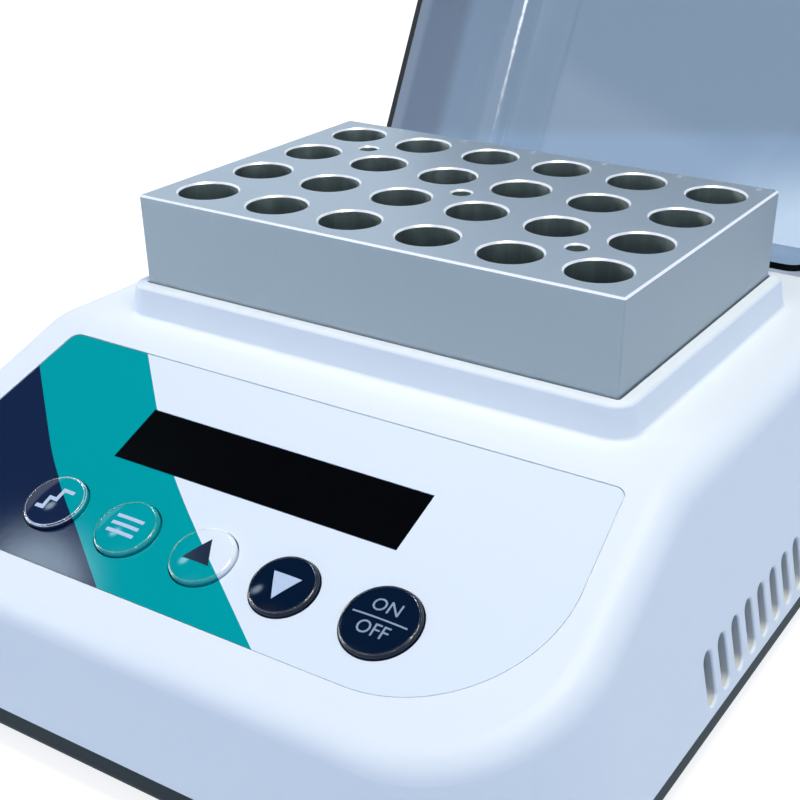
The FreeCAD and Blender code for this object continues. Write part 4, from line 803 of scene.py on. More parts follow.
class Band(Enum):
    """The printed colours of the panel."""

    NAVY = tone(24, 40, 72)
    TEAL = tone(0, 162, 166)
    PAPER = (0.84, 0.905, 0.975)


@dataclass(frozen=True)
class BandEdge:
    """Where a band begins: two straight lines down the panel, joined by a soft bend.

    Each line is its slope and where it starts at the panel's top, in millimetres.
    """

    upper: tuple[float, float]
    lower: tuple[float, float]
    softness: float

    def beyond(self, wiring: Wiring, along: Any, down: Any) -> bpy.types.NodeSocket:
        """Where the band lies.

        Args:
            wiring: The group's tree.
            along: The distance along the panel.
            down: The distance down it.

        Returns:
            A socket that is 1 to the right of the edge, and 0 to the left.
        """
        lines = [
            wiring.math("ADD", wiring.math("MULTIPLY", down, slope), start * MM)
            for slope, start in (self.upper, self.lower)
        ]
        bend = wiring.math("SMOOTH_MAX", *lines, self.softness * MM)
        return wiring.math("GREATER_THAN", along, bend)


TEAL_EDGE = BandEdge((1.083, -76.3), (1.395, -85.9), 2.0)
PAPER_EDGE = BandEdge((1.003, -43.5), (1.446, -54.3), 7.3)


@cache
def printed_bands() -> bpy.types.NodeTree:
    """The panel's printed stripes: navy, teal and white.

    Returns:
        The group.
    """
    panel = PanelFrame.found()
    outputs = [Port("Colour", SocketKind.TINT)]
    ports = [Port("Place", SocketKind.PLACE)]
    wiring, given, result = group_with("printed_bands", "ShaderNodeTree", ports, outputs)
    away = wiring.vector("SUBTRACT", given["Place"], tuple(panel.origin)).outputs[0]
    along = wiring.vector("DOT_PRODUCT", away, (1, 0, 0)).outputs["Value"]
    up = wiring.vector("DOT_PRODUCT", away, tuple(panel.up)).outputs["Value"]
    down = wiring.math("MULTIPLY", up, -1.0)
    colour: Any = opaque(Band.NAVY.value)
    for edge, band in ((TEAL_EDGE, Band.TEAL), (PAPER_EDGE, Band.PAPER)):
        colour = wiring.blend(edge.beyond(wiring, along, down), colour, opaque(band.value))
    wiring.feed(result.inputs["Colour"], colour)
    return wiring.tree


@dataclass(frozen=True)
class PrintedFilm(SkinnedFinish):
    """Polyester film, printed on its back, with a smooth clear face."""

    grain: float = 2.0 * MM
    wave: float = 14.0 * MM
    relief: float = 0.01
    depth: float = 0.2 * MM
    spread: float = 0.04
    shine: float = 0.35

    def wire(self, surface: Surface) -> None:
        """Stripes to the colour, a faint waviness to the bump.

        Args:
            surface: The material in the making.
        """
        surface.give("Base Color", surface.effect(printed_bands()).outputs["Colour"])
        surface.give("Specular IOR Level", self.shine)
        self.skin(surface)


# ------------------------------------------------------------------ finishes of this heater

# The shell's vents carry painted shade inside.
SHELL_WHITE = VentShadedShell(
    "shell_white",
    (0.87, 0.915, 0.95),
    0.5,
    grain=0.5 * MM,
    relief=0.004,
    spread=0.05,
    shade=0.012,
    node="housing",
)
TRAY_CHARCOAL = MouldedPlastic(
    "tray_charcoal", tone(29, 44, 50), 0.5, grain=0.35 * MM, relief=0.25, shine=0.2
)
FOOT_RUBBER = MouldedPlastic("foot_rubber", tone(38, 38, 40), 0.8, grain=0.5 * MM, relief=0.4)
MAINS_BLACK = MouldedPlastic("mains_black", tone(34, 35, 38), 0.42, grain=0.3 * MM, relief=0.2)
SILICONE_MAT = MouldedPlastic("silicone_rubber", tone(190, 92, 52), 0.65, grain=0.6 * MM, relief=0.4)
INSULATION_FOAM = MouldedPlastic("pressed_foam", tone(214, 208, 190), 0.9, grain=0.5 * MM, relief=0.9)
BOARD_GREEN = MouldedPlastic("glass_epoxy_board", tone(24, 92, 60), 0.35, grain=0.8 * MM, relief=0.1)
WINDOW_BLACK = MouldedPlastic("window_black", tone(4, 5, 7), 0.12, relief=0.004)
DISPLAY_CELL = MouldedPlastic("liquid_crystal_cell", tone(58, 72, 48), 0.2, relief=0.01)
NAVY_KEY = MouldedPlastic("navy_key", tone(8, 26, 50), 0.06, relief=0.004, shine=0.3)
PRINTED_FILM = PrintedFilm("printed_film", Band.PAPER.value, 0.05)
SMOKED_LID = ClearPlastic(
    "smoked_acrylic",
    (0.2, 0.275, 0.365),
    0.02,
    box="lid",
    # Painted light: from 25 mm inwards the walls are painted darker as painted shade, and from 41 mm, near the
    # rim, lighter as a painted reflection.
    stops=(
        TintAndShadeStop(10.0 * MM, (0.2, 0.275, 0.365)),
        TintAndShadeStop(20.0 * MM, (0.2, 0.27, 0.36)),
        TintAndShadeStop(25.0 * MM, (0.15, 0.195, 0.262)),
        TintAndShadeStop(39.5 * MM, (0.145, 0.19, 0.26)),
        TintAndShadeStop(41.0 * MM, (0.21, 0.26, 0.33)),
    ),
)
CLEAR_BEAD = ClearPlastic("clear_bead", (0.97, 0.98, 1.0), 0.03)
FUSE_GLASS = ClearPlastic("fuse_tube_glass", (0.86, 0.9, 0.9), 0.05)
BLOCK_ALUMINIUM = BoredBlockMetal(
    "blasted_aluminium",
    (0.39, 0.458, 0.50),
    0.45,
    contrast=0.05,
    metallic=0.6,
    node="heating_block",
)
PLATE_ALUMINIUM = DrawnMetal("milled_aluminium", tone(200, 203, 206), 0.32, stretch=(0.02, 1.0, 1.0))
SHEET_STEEL = DrawnMetal("zinc_plated_sheet", tone(176, 180, 184), 0.38, stretch=(1.0, 0.03, 1.0))
SCREW_STEEL = DrawnMetal("nickel_plated_screw", tone(170, 172, 176), 0.28)
POLISHED_STEEL = DrawnMetal("ground_steel", tone(200, 202, 205), 0.14, relief=0.03)
CONTACT_BRASS = DrawnMetal("nickel_brass", tone(214, 178, 104), 0.25)
CORE_IRON = DrawnMetal(
    "laminated_iron", tone(96, 98, 104), 0.5, stretch=(0.05, 1.0, 0.05), line=0.5 * MM
)
BEZEL_BLACK = DrawnMetal("blackened_steel", tone(52, 54, 58), 0.45)
SOLDER_TIN = DrawnMetal("solder_tin", tone(188, 190, 194), 0.3, stretch=(1.0, 1.0, 1.0), relief=0.05)
INK_PALE = MouldedPlastic("ink_pale", tone(196, 212, 234), 0.35, relief=0.01, spread=0.05)
INK_GREY = MouldedPlastic("ink_grey", tone(150, 166, 186), 0.35, relief=0.01, spread=0.05)
INK_NAVY = MouldedPlastic("ink_navy", tone(22, 38, 62), 0.3, relief=0.01, spread=0.05)
INK_BLOCK = MouldedPlastic("ink_block", tone(206, 218, 230), 0.5, relief=0.02, spread=0.05)
INK_WHITE = MouldedPlastic("ink_white", tone(232, 234, 236), 0.45, relief=0.02, spread=0.05)


# ------------------------------------------------------------------ signs printed on surfaces


# A capital's height as a share of the text's size, the steps in a letter's curve,
# and how near two corners have to be to become one.
CAPITAL_SHARE = 0.7
LETTER_STEPS = 3
WELD = 0.005 * MM


@dataclass(frozen=True)
class Word:
    """A short word of a sign."""

    text: str
    height: float
    middle: Point

    def curve(self) -> bpy.types.TextCurve:
        """The word as Blender's text, in metres.

        Returns:
            The text.
        """
        text = bpy.data.curves.new(self.text, "FONT")
        text.body = self.text
        text.size = self.height * MM / CAPITAL_SHARE
        text.align_x = "CENTER"
        text.align_y = "CENTER"
        text.resolution_u = LETTER_STEPS
        text.offset_x, text.offset_y = (part * MM for part in self.middle)
        return text


@dataclass(frozen=True)
class Sign:
    """A printed sign: filled outlines and words, in millimetres round its middle."""

    outlines: tuple[tuple[Point, ...], ...] = ()
    words: tuple[Word, ...] = ()

    def shapes(self) -> bpy.types.Curve:
        """The filled outlines as one flat curve, in metres.

        Returns:
            The curve.
        """
        curve = bpy.data.curves.new("outlines", "CURVE")
        curve.dimensions = "2D"
        curve.fill_mode = "BOTH"
        for outline in self.outlines:
            spline = curve.splines.new("POLY")
            spline.points.add(len(outline) - 1)
            for point, (x, y) in zip(spline.points, outline):
                point.co = (x * MM, y * MM, 0.0, 1.0)
            spline.use_cyclic_u = True
        return curve

    def flat(self) -> bpy.types.Mesh:
        """The whole sign as a flat filled mesh, in metres.

        Returns:
            The mesh.
        """
        joined = bmesh.new()
        sources = [self.shapes()] if self.outlines else []
        sources += [word.curve() for word in self.words]
        for source in sources:
            holder = bpy.data.objects.new("sign", source)
            bpy.context.scene.collection.objects.link(holder)
            bpy.context.view_layer.update()
            seen = holder.evaluated_get(bpy.context.evaluated_depsgraph_get())
            mesh = bpy.data.meshes.new_from_object(seen)
            joined.from_mesh(mesh)
            bpy.data.objects.remove(holder)
            bpy.data.meshes.remove(mesh)
        bmesh.ops.remove_doubles(joined, verts=joined.verts, dist=WELD)
        bmesh.ops.triangulate(joined, faces=joined.faces)
        flat = bpy.data.meshes.new("flat_sign")
        joined.to_mesh(flat)
        joined.free()
        return flat


@dataclass(frozen=True)
class Facing:
    """A place on the part's surface, with the directions along, up and out of it."""

    middle: Vector
    along: Vector
    up: Vector
    out: Vector


@dataclass(frozen=True)
class Printer:
    """Lays signs on a node's surface as thin closed films of ink."""

    node: str
    body: str
    reach: float = 6.0 * MM
    thickness: float = 0.05 * MM
    sunk: float = 0.03 * MM
    step: float = 0.9 * MM
    rounds: int = 3

    def divided(self, sign: Sign) -> bmesh.types.BMesh:
        """A sign's flat mesh with its long edges divided, so that it can bend.

        Args:
            sign: What is printed.

        Returns:
            The mesh, which the caller frees.
        """
        work = bmesh.new()
        work.from_mesh(sign.flat())
        for _ in range(self.rounds):
            long = [edge for edge in work.edges if edge.calc_length() > self.step]
            if not long:
                break
            bmesh.ops.subdivide_edges(work, edges=long, cuts=1)
            bmesh.ops.triangulate(work, faces=work.faces)
        work.normal_update()
        work.verts.index_update()
        work.verts.ensure_lookup_table()
        return work

    def feet(self, work: bmesh.types.BMesh, facing: Facing) -> list[Vector]:
        """Where each point of a flat mesh meets the node's surface.

        Args:
            work: The flat mesh.
            facing: Where it lies, and which way it faces.

        Returns:
            One place for each point, in order.
        """
        mesh = frame["nodes"][self.node].data
        tree = BVHTree.FromPolygons(
            [vertex.co for vertex in mesh.vertices], [face.vertices for face in mesh.polygons]
        )
        feet = []
        for vertex in work.verts:
            start = facing.middle + facing.along * vertex.co.x + facing.up * vertex.co.y
            hit = tree.ray_cast(start + facing.out * self.reach, -facing.out)[0]
            feet.append(hit if hit is not None else start)
        return feet

    def lay(self, name: str, sign: Sign, facing: Facing, finish: Finish) -> bpy.types.Object:
        """Makes one sign follow the surface under it.

        Args:
            name: The piece's name.
            sign: What is printed.
            facing: Where, and which way it faces.
            finish: The ink.

        Returns:
            The piece.
        """
        work = self.divided(sign)
        feet = self.feet(work, facing)
        top = [foot + facing.out * self.thickness for foot in feet]
        bottom = [foot - facing.out * self.sunk for foot in feet]
        count = len(feet)
        faces = []
        for face in work.faces:
            ring = [vertex.index for vertex in face.verts]
            if face.normal.z < 0:
                ring.reverse()
            faces.append(tuple(ring))
            faces.append(tuple(count + index for index in reversed(ring)))
            for first, second in zip(ring, ring[1:] + ring[:1]):
                edge = work.edges.get((work.verts[first], work.verts[second]))
                if len(edge.link_faces) == 1:
                    faces.append((second, first, count + first, count + second))
        work.free()
        made = bpy.data.meshes.new(name)
        made.from_pydata(top + bottom, [], faces)
        made.validate()
        piece = bpy.data.objects.new(name, made)
        bpy.context.scene.collection.objects.link(piece)
        made.materials.append(finish.material())
        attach(piece, self.body)
        log.info("%s printed", name)
        return piece


def ring_outlines(radius: float, width: float, steps: int = 48) -> tuple[tuple[Point, ...], ...]:
    """The two outlines of a flat ring.

    Args:
        radius: Its outer radius.
        width: How wide it is.
        steps: How many corners each outline has.

    Returns:
        The outer and the inner outline.
    """
    turns = [2 * math.pi * i / steps for i in range(steps)]
    return tuple(
        tuple((r * math.cos(t), r * math.sin(t)) for t in turns) for r in (radius, radius - width)
    )


def bar(x0: float, x1: float, y0: float, y1: float) -> tuple[Point, ...]:
    """The outline of an upright rectangle."""
    return (x0, y0), (x1, y0), (x1, y1), (x0, y1)


@dataclass(frozen=True)
class Dome:
    """The round top of a key, found on its mesh."""

    crown: Vector
    radius: float
    cap: ClassVar[float] = 1.0 * MM

    @classmethod
    def found(cls, node: str, panel: PanelFrame) -> "Dome":
        """The dome of a key.

        Args:
            node: The key's node.
            panel: The panel's frame.

        Returns:
            Its crown and its radius.
        """
        places = [panel.coordinates(v.co) for v in frame["nodes"][node].data.vertices]
        top = max(place.z for place in places)
        high = [place for place in places if place.z > top - cls.cap]
        left, right = min(p.x for p in high), max(p.x for p in high)
        foot, head = min(p.y for p in high), max(p.y for p in high)
        return cls(panel.point((left + right) / 2, (foot + head) / 2, top), (right - left) / 2)


TRIANGLE = ((-2.9, -1.8), (2.9, -1.8), (0.0, 3.4))


def steps_sign() -> Sign:
    """A stepped line, for a program of temperatures.

    Returns:
        The sign.
    """
    path = ((-2.9, -2.5), (-0.7, -2.5), (-0.7, -0.2), (0.9, -0.2), (0.9, 2.2), (2.9, 2.2))
    back = ((2.9, 3.0), (0.1, 3.0), (0.1, 0.6), (-1.5, 0.6), (-1.5, -1.7), (-2.9, -1.7))
    return Sign((path + back,))


def menu_sign() -> Sign:
    """Three level bars."""
    return Sign(tuple(bar(-3.1, 3.1, y - 0.36, y + 0.36) for y in (1.7, 0.0, -1.7)))


def switch_sign() -> Sign:
    """ON over OFF, parted by a line."""
    words = (Word("ON", 2.5, (0.0, 2.35)), Word("OFF", 2.5, (0.0, -2.35)))
    return Sign((bar(-5.3, 5.3, -0.15, 0.15),), words)


# ------------------------------------------------------------------ geometry node trees

# Steps round a ring and round its bead, and the faces round and up a peg.
PATH_STEPS = 64
BEAD_STEPS = 12
PEG_SEGMENTS = 8
PEG_RINGS = 4


def end_tree(
    wiring: Wiring, last: bpy.types.Node, finish: bpy.types.NodeSocket, result: bpy.types.Node
) -> None:
    """Ends a geometry tree: instances made real, then given their finish.

    Args:
        wiring: The tree.
        last: The node that makes the geometry.
        finish: The material's socket.
        result: The output node.
    """
    whole = wiring.node("GeometryNodeRealizeInstances", {0: last.outputs[0]})
    dressed = wiring.node(
        "GeometryNodeSetMaterial", {"Geometry": whole.outputs[0], "Material": finish}
    )
    wiring.feed(result.inputs["Mesh"], dressed.outputs[0])


@cache
def bead_ring_tree() -> bpy.types.GeometryNodeTree:
    """A round bead bent into a ring, set down at a place and tilt.

    Returns:
        The group.
    """
    inputs = [
        Port("Ring Radius"),
        Port("Bead Radius"),
        Port("Flatness"),
        Port("Place", SocketKind.PLACE),
        Port("Tilt", SocketKind.PLACE),
        Port("Finish", SocketKind.FINISH),
    ]
    outputs = [Port("Mesh", SocketKind.MESH)]
    wiring, given, result = group_with("bead_ring", "GeometryNodeTree", inputs, outputs)
    path, bead = (
        wiring.node("GeometryNodeCurvePrimitiveCircle", {"Resolution": steps, "Radius": radius})
        for steps, radius in ((PATH_STEPS, given["Ring Radius"]), (BEAD_STEPS, given["Bead Radius"]))
    )
    swept = wiring.node("GeometryNodeCurveToMesh", {0: path.outputs[0], 1: bead.outputs[0]})
    squash = wiring.node("ShaderNodeCombineXYZ", {0: 1.0, 1: 1.0, 2: given["Flatness"]})
    flat = wiring.node(
        "GeometryNodeTransform", {"Geometry": swept.outputs[0], "Scale": squash.outputs[0]}
    )
    placing = {"Geometry": flat.outputs[0], "Translation": given["Place"], "Rotation": given["Tilt"]}
    placed = wiring.node("GeometryNodeTransform", placing)
    smooth = wiring.node("GeometryNodeSetShadeSmooth", {"Geometry": placed.outputs[0]})
    end_tree(wiring, smooth, given["Finish"], result)
    return wiring.tree


@cache
def spread_tree() -> bpy.types.GeometryNodeTree:
    """A grid of small round-headed pegs, some left out at random.

    Returns:
        The group.
    """
    inputs = [
        Port("Low Corner", SocketKind.PLACE),
        Port("Length"),
        Port("Width"),
        Port("Rows", SocketKind.COUNT),
        Port("Columns", SocketKind.COUNT),
        Port("Peg Radius"),
        Port("Peg Height"),
        Port("Share Kept"),
        Port("Seed", SocketKind.COUNT),
        Port("Finish", SocketKind.FINISH),
    ]
    outputs = [Port("Mesh", SocketKind.MESH)]
    wiring, given, result = group_with("pegs_in_rows", "GeometryNodeTree", inputs, outputs)
    sizes = {
        "Size X": given["Length"],
        "Size Y": given["Width"],
        "Vertices X": given["Columns"],
        "Vertices Y": given["Rows"],
    }
    grid = wiring.node("GeometryNodeMeshGrid", sizes)
    half = wiring.node("ShaderNodeCombineXYZ", {0: given["Length"], 1: given["Width"], 2: 0.0})
    half = wiring.vector("SCALE", half.outputs[0])
    wiring.feed(half.inputs["Scale"], 0.5)
    middle = wiring.vector("ADD", given["Low Corner"], half.outputs[0]).outputs[0]
    moved = wiring.node(
        "GeometryNodeTransform", {"Geometry": grid.outputs[0], "Translation": middle}
    )
    chance = wiring.node("FunctionNodeRandomValue", data_type="BOOLEAN")
    wiring.feed(chance.inputs["Probability"], given["Share Kept"])
    wiring.feed(chance.inputs["Seed"], given["Seed"])
    ball = {"Segments": PEG_SEGMENTS, "Rings": PEG_RINGS, "Radius": given["Peg Radius"]}
    peg = wiring.node("GeometryNodeMeshUVSphere", ball)
    tall = wiring.math("DIVIDE", given["Peg Height"], given["Peg Radius"])
    scale = wiring.node("ShaderNodeCombineXYZ", {0: 1.0, 1: 1.0, 2: tall})
    stretched = wiring.node(
        "GeometryNodeTransform", {"Geometry": peg.outputs[0], "Scale": scale.outputs[0]}
    )
    smooth = wiring.node("GeometryNodeSetShadeSmooth", {"Geometry": stretched.outputs[0]})
    spread = {
        "Points": moved.outputs[0],
        "Instance": smooth.outputs[0],
        "Selection": chance.outputs[3],
    }
    pegs = wiring.node("GeometryNodeInstanceOnPoints", spread)
    end_tree(wiring, pegs, given["Finish"], result)
    return wiring.tree


def grown(
    name: str, tree: bpy.types.GeometryNodeTree, body: str, **values: Any
) -> bpy.types.Object:
    """Runs a geometry tree once and keeps its result as a plain piece.

    Args:
        name: The piece's name.
        tree: The tree.
        body: The body that it rides on.
        **values: The tree's inputs, with underscores for the spaces in their names.

    Returns:
        The piece.
    """
    holder = bpy.data.objects.new(name, bpy.data.meshes.new(f"{name}_seed"))
    bpy.context.scene.collection.objects.link(holder)
    modifier = holder.modifiers.new("grow", "NODES")
    modifier.node_group = tree
    sockets = {item.name: item for item in tree.interface.items_tree if item.in_out == "INPUT"}
    for key, value in values.items():
        modifier[sockets[key.replace("_", " ")].identifier] = value
    bpy.context.view_layer.update()
    seen = holder.evaluated_get(bpy.context.evaluated_depsgraph_get())
    mesh = bpy.data.meshes.new_from_object(seen)
    holder.modifiers.remove(modifier)
    mesh.name = name
    holder.data = mesh
    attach(holder, body)
    log.info("%s grown, %d faces", name, len(mesh.polygons))
    return holder


# ------------------------------------------------------------------ the heater's sub-assemblies


@dataclass(frozen=True)
class SubAssembly:
    """Pieces that belong together. A field with a node's name holds that node's finish."""

    def dress(self) -> None:
        """Gives each piece its finish."""
        for item in fields(self):
            if item.name in frame["nodes"]:
                finish = getattr(self, item.name)
                mesh = frame["nodes"][item.name].data
                mesh.materials.clear()
                mesh.materials.append(finish.material())
                log.info("%s dressed in %s", item.name, finish.name)

    def detail(self) -> None:
        """Adds what is too fine for the solid model. A plain sub-assembly has none."""

    def build(self) -> None:
        """Dresses the pieces, then adds their details."""
        self.dress()
        self.detail()


@dataclass(frozen=True)
class Casing(SubAssembly):
    """The white shell on its dark tray, with its feet and screws."""

    housing: Finish = SHELL_WHITE
    base_tray: Finish = TRAY_CHARCOAL
    rubber_feet: Finish = FOOT_RUBBER
    tray_screws: Finish = SCREW_STEEL


@dataclass(frozen=True)
class HingedLid(SubAssembly):
    """The smoked lid and the two pins that it turns on."""

    lid: Finish = SMOKED_LID
    hinge_pins: Finish = POLISHED_STEEL


@dataclass(frozen=True)
class ControlPanel(SubAssembly):
    """The label, the display behind its window, and five domed keys over their switches."""

    panel_overlay: Finish = PRINTED_FILM
    key_program: Finish = PRINTED_FILM
    key_menu: Finish = PRINTED_FILM
    key_up: Finish = PRINTED_FILM
    key_down: Finish = NAVY_KEY
    key_power: Finish = NAVY_KEY
    display_lens: Finish = WINDOW_BLACK
    display_board: Finish = BOARD_GREEN
    display_bezel: Finish = BEZEL_BLACK
    display_glass: Finish = DISPLAY_CELL
    key_board: Finish = BOARD_GREEN
    tactile_switches: Finish = MAINS_BLACK
    board_screws: Finish = SCREW_STEEL
    ring_inset: float = 0.12
    ring_width: float = 0.42
    bead_inset: float = 0.42 * MM
    bead_radius: float = 0.2 * MM
    bead_flatness: float = 0.8
    bead_below: float = 0.42 * MM

    def detail(self) -> None:
        """Prints the keys, with a pale ring round the first, and rims each with a bead."""
        panel = PanelFrame.found()
        signs = {
            "key_program": (steps_sign(), INK_PALE),
            "key_menu": (menu_sign(), INK_PALE),
            "key_up": (Sign((TRIANGLE,)), INK_NAVY),
            "key_down": (Sign((tuple((x, -y) for x, y in reversed(TRIANGLE)),)), INK_PALE),
            "key_power": (switch_sign(), INK_GREY),
        }
        domes = {node: Dome.found(node, panel) for node in signs}
        for node, (sign, ink) in signs.items():
            dome = domes[node]
            facing = Facing(dome.crown, Vector((1, 0, 0)), panel.up, panel.out)
            Printer(node, node).lay(f"{node}_sign", sign, facing, ink)
            if node == "key_program":
                ring = Sign(ring_outlines(dome.radius / MM - self.ring_inset, self.ring_width))
                Printer(node, node).lay("key_program_ring", ring, facing, INK_PALE)
        for node, dome in domes.items():
            self.rim(node, dome, panel)

    def rim(self, node: str, dome: Dome, panel: PanelFrame) -> None:
        """Lays the clear raised bead round the edge of a key.

        Args:
            node: The key's node, which is also its body.
            dome: The key's top.
            panel: The panel's frame.
        """
        ring = grown(
            f"{node}_bead",
            bead_ring_tree(),
            node,
            Ring_Radius=dome.radius - self.bead_inset,
            Bead_Radius=self.bead_radius,
            Flatness=self.bead_flatness,
            Place=tuple(dome.crown - panel.out * self.bead_below),
            Tilt=tuple(panel.out.to_track_quat("Z", "X").to_euler()),
            Finish=CLEAR_BEAD.material(),
        )


@dataclass(frozen=True)
class HeaterStack(SubAssembly):
    """The well block and what heats, carries, measures and guards it."""

    heating_block: Finish = BLOCK_ALUMINIUM
    heater_plate: Finish = PLATE_ALUMINIUM
    heater_mat: Finish = SILICONE_MAT
    well_liner: Finish = SHEET_STEEL
    insulation_tub: Finish = INSULATION_FOAM
    heater_holder: Finish = SHEET_STEEL
    holder_screws: Finish = SCREW_STEEL
    temperature_probe: Finish = POLISHED_STEEL
    thermal_cutout: Finish = MAINS_BLACK
    number_height: float = 1.9
    number_beside: float = 6.3 * MM
    number_from_edge: float = 1.9 * MM
    number_ink: float = 0.02 * MM

    def detail(self) -> None:
        """Prints a faint column number beside each well of the rear row."""
        openings = frame["record"]["physics"]["openings"]
        boxes = {hole["name"]: hole["box_m"] for hole in openings}
        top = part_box("heating_block")[1]
        ink = self.number_ink
        printer = Printer("heating_block", "heating_block", thickness=ink, sunk=ink)
        for name in sorted(name for name in boxes if name.startswith("well_row4_col")):
            number = name[-1]
            low, high = boxes[name]
            x = (low[0] + high[0]) / 2 + self.number_beside
            middle = Vector((x, top.y - self.number_from_edge, top.z))
            facing = Facing(middle, Vector((1, 0, 0)), Vector((0, 1, 0)), Vector((0, 0, 1)))
            sign = Sign(words=(Word(number, self.number_height, (0.0, 0.0)),))
            printer.lay(f"block_number_{number}", sign, facing, INK_BLOCK)


@dataclass(frozen=True)
class MainsEntry(SubAssembly):
    """The inlet with its fuse drawer, and the power switch, in the rear wall."""

    power_inlet: Finish = MAINS_BLACK
    inlet_blades: Finish = CONTACT_BRASS
    inlet_screws: Finish = SCREW_STEEL
    fuse_drawer: Finish = MAINS_BLACK
    fuse: Finish = FUSE_GLASS
    switch_frame: Finish = MAINS_BLACK
    rocker: Finish = MAINS_BLACK
    marks_apart: float = 3.6
    line_half: tuple[float, float] = (0.3, 1.3)
    ring_radius: float = 1.35
    ring_width: float = 0.5
    print_reach: float = 4.0 * MM

    def detail(self) -> None:
        """Prints the I and the O on the rocker."""
        low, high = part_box("rocker")
        middle = Vector(((low.x + high.x) / 2, high.y, (low.z + high.z) / 2))
        facing = Facing(middle, Vector((-1, 0, 0)), Vector((0, 0, 1)), Vector((0, 1, 0)))
        half_width, half_height = self.line_half
        apart = self.marks_apart
        line = bar(-half_width, half_width, apart - half_height, apart + half_height)
        outlines = ring_outlines(self.ring_radius, self.ring_width)
        ring = tuple(tuple((x, y - apart) for x, y in outline) for outline in outlines)
        printer = Printer("rocker", "rocker", reach=self.print_reach)
        printer.lay("rocker_marks", Sign((line, *ring)), facing, INK_WHITE)


@dataclass(frozen=True)
class Electronics(SubAssembly):
    """The power board and the main board, with the parts on them."""

    power_board: Finish = BOARD_GREEN
    main_board: Finish = BOARD_GREEN
    transformer: Finish = CORE_IRON
    heat_sink: Finish = PLATE_ALUMINIUM
    power_parts: Finish = MAINS_BLACK
    main_parts: Finish = MAINS_BLACK
    pitch: float = 3.4 * MM
    margin: float = 5.0 * MM
    joint_radius: float = 0.8 * MM
    joint_height: float = 0.9 * MM
    share_kept: float = 0.4
    first_seed: int = 3

    def detail(self) -> None:
        """Grows one field of solder joints under each board."""
        for seed, node in enumerate(("power_board", "main_board"), start=self.first_seed):
            low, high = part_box(node)
            length = high.x - low.x - 2 * self.margin
            width = high.y - low.y - 2 * self.margin
            joints = grown(
                f"{node}_solder",
                spread_tree(),
                "base",
                Low_Corner=(low.x + self.margin, low.y + self.margin, low.z),
                Length=length,
                Width=width,
                Rows=int(width / self.pitch) + 1,
                Columns=int(length / self.pitch) + 1,
                Peg_Radius=self.joint_radius,
                Peg_Height=self.joint_height,
                Share_Kept=self.share_kept,
                Seed=seed,
                Finish=SOLDER_TIN.material(),
            )


# ------------------------------------------------------------------ studio


@dataclass(frozen=True)
class Lamp:
    """One soft lamp."""

    name: str
    place: tuple[float, float, float]
    size: tuple[float, float]
    power: float
    colour: Colour
    mirrored: bool = True


@dataclass(frozen=True)
class Window:
    """A bright soft patch of the surroundings, seen in reflections alone."""

    towards: tuple[float, float, float]
    half_angle: float
    strength: float
    colour: Colour = (1.0, 1.0, 1.0)


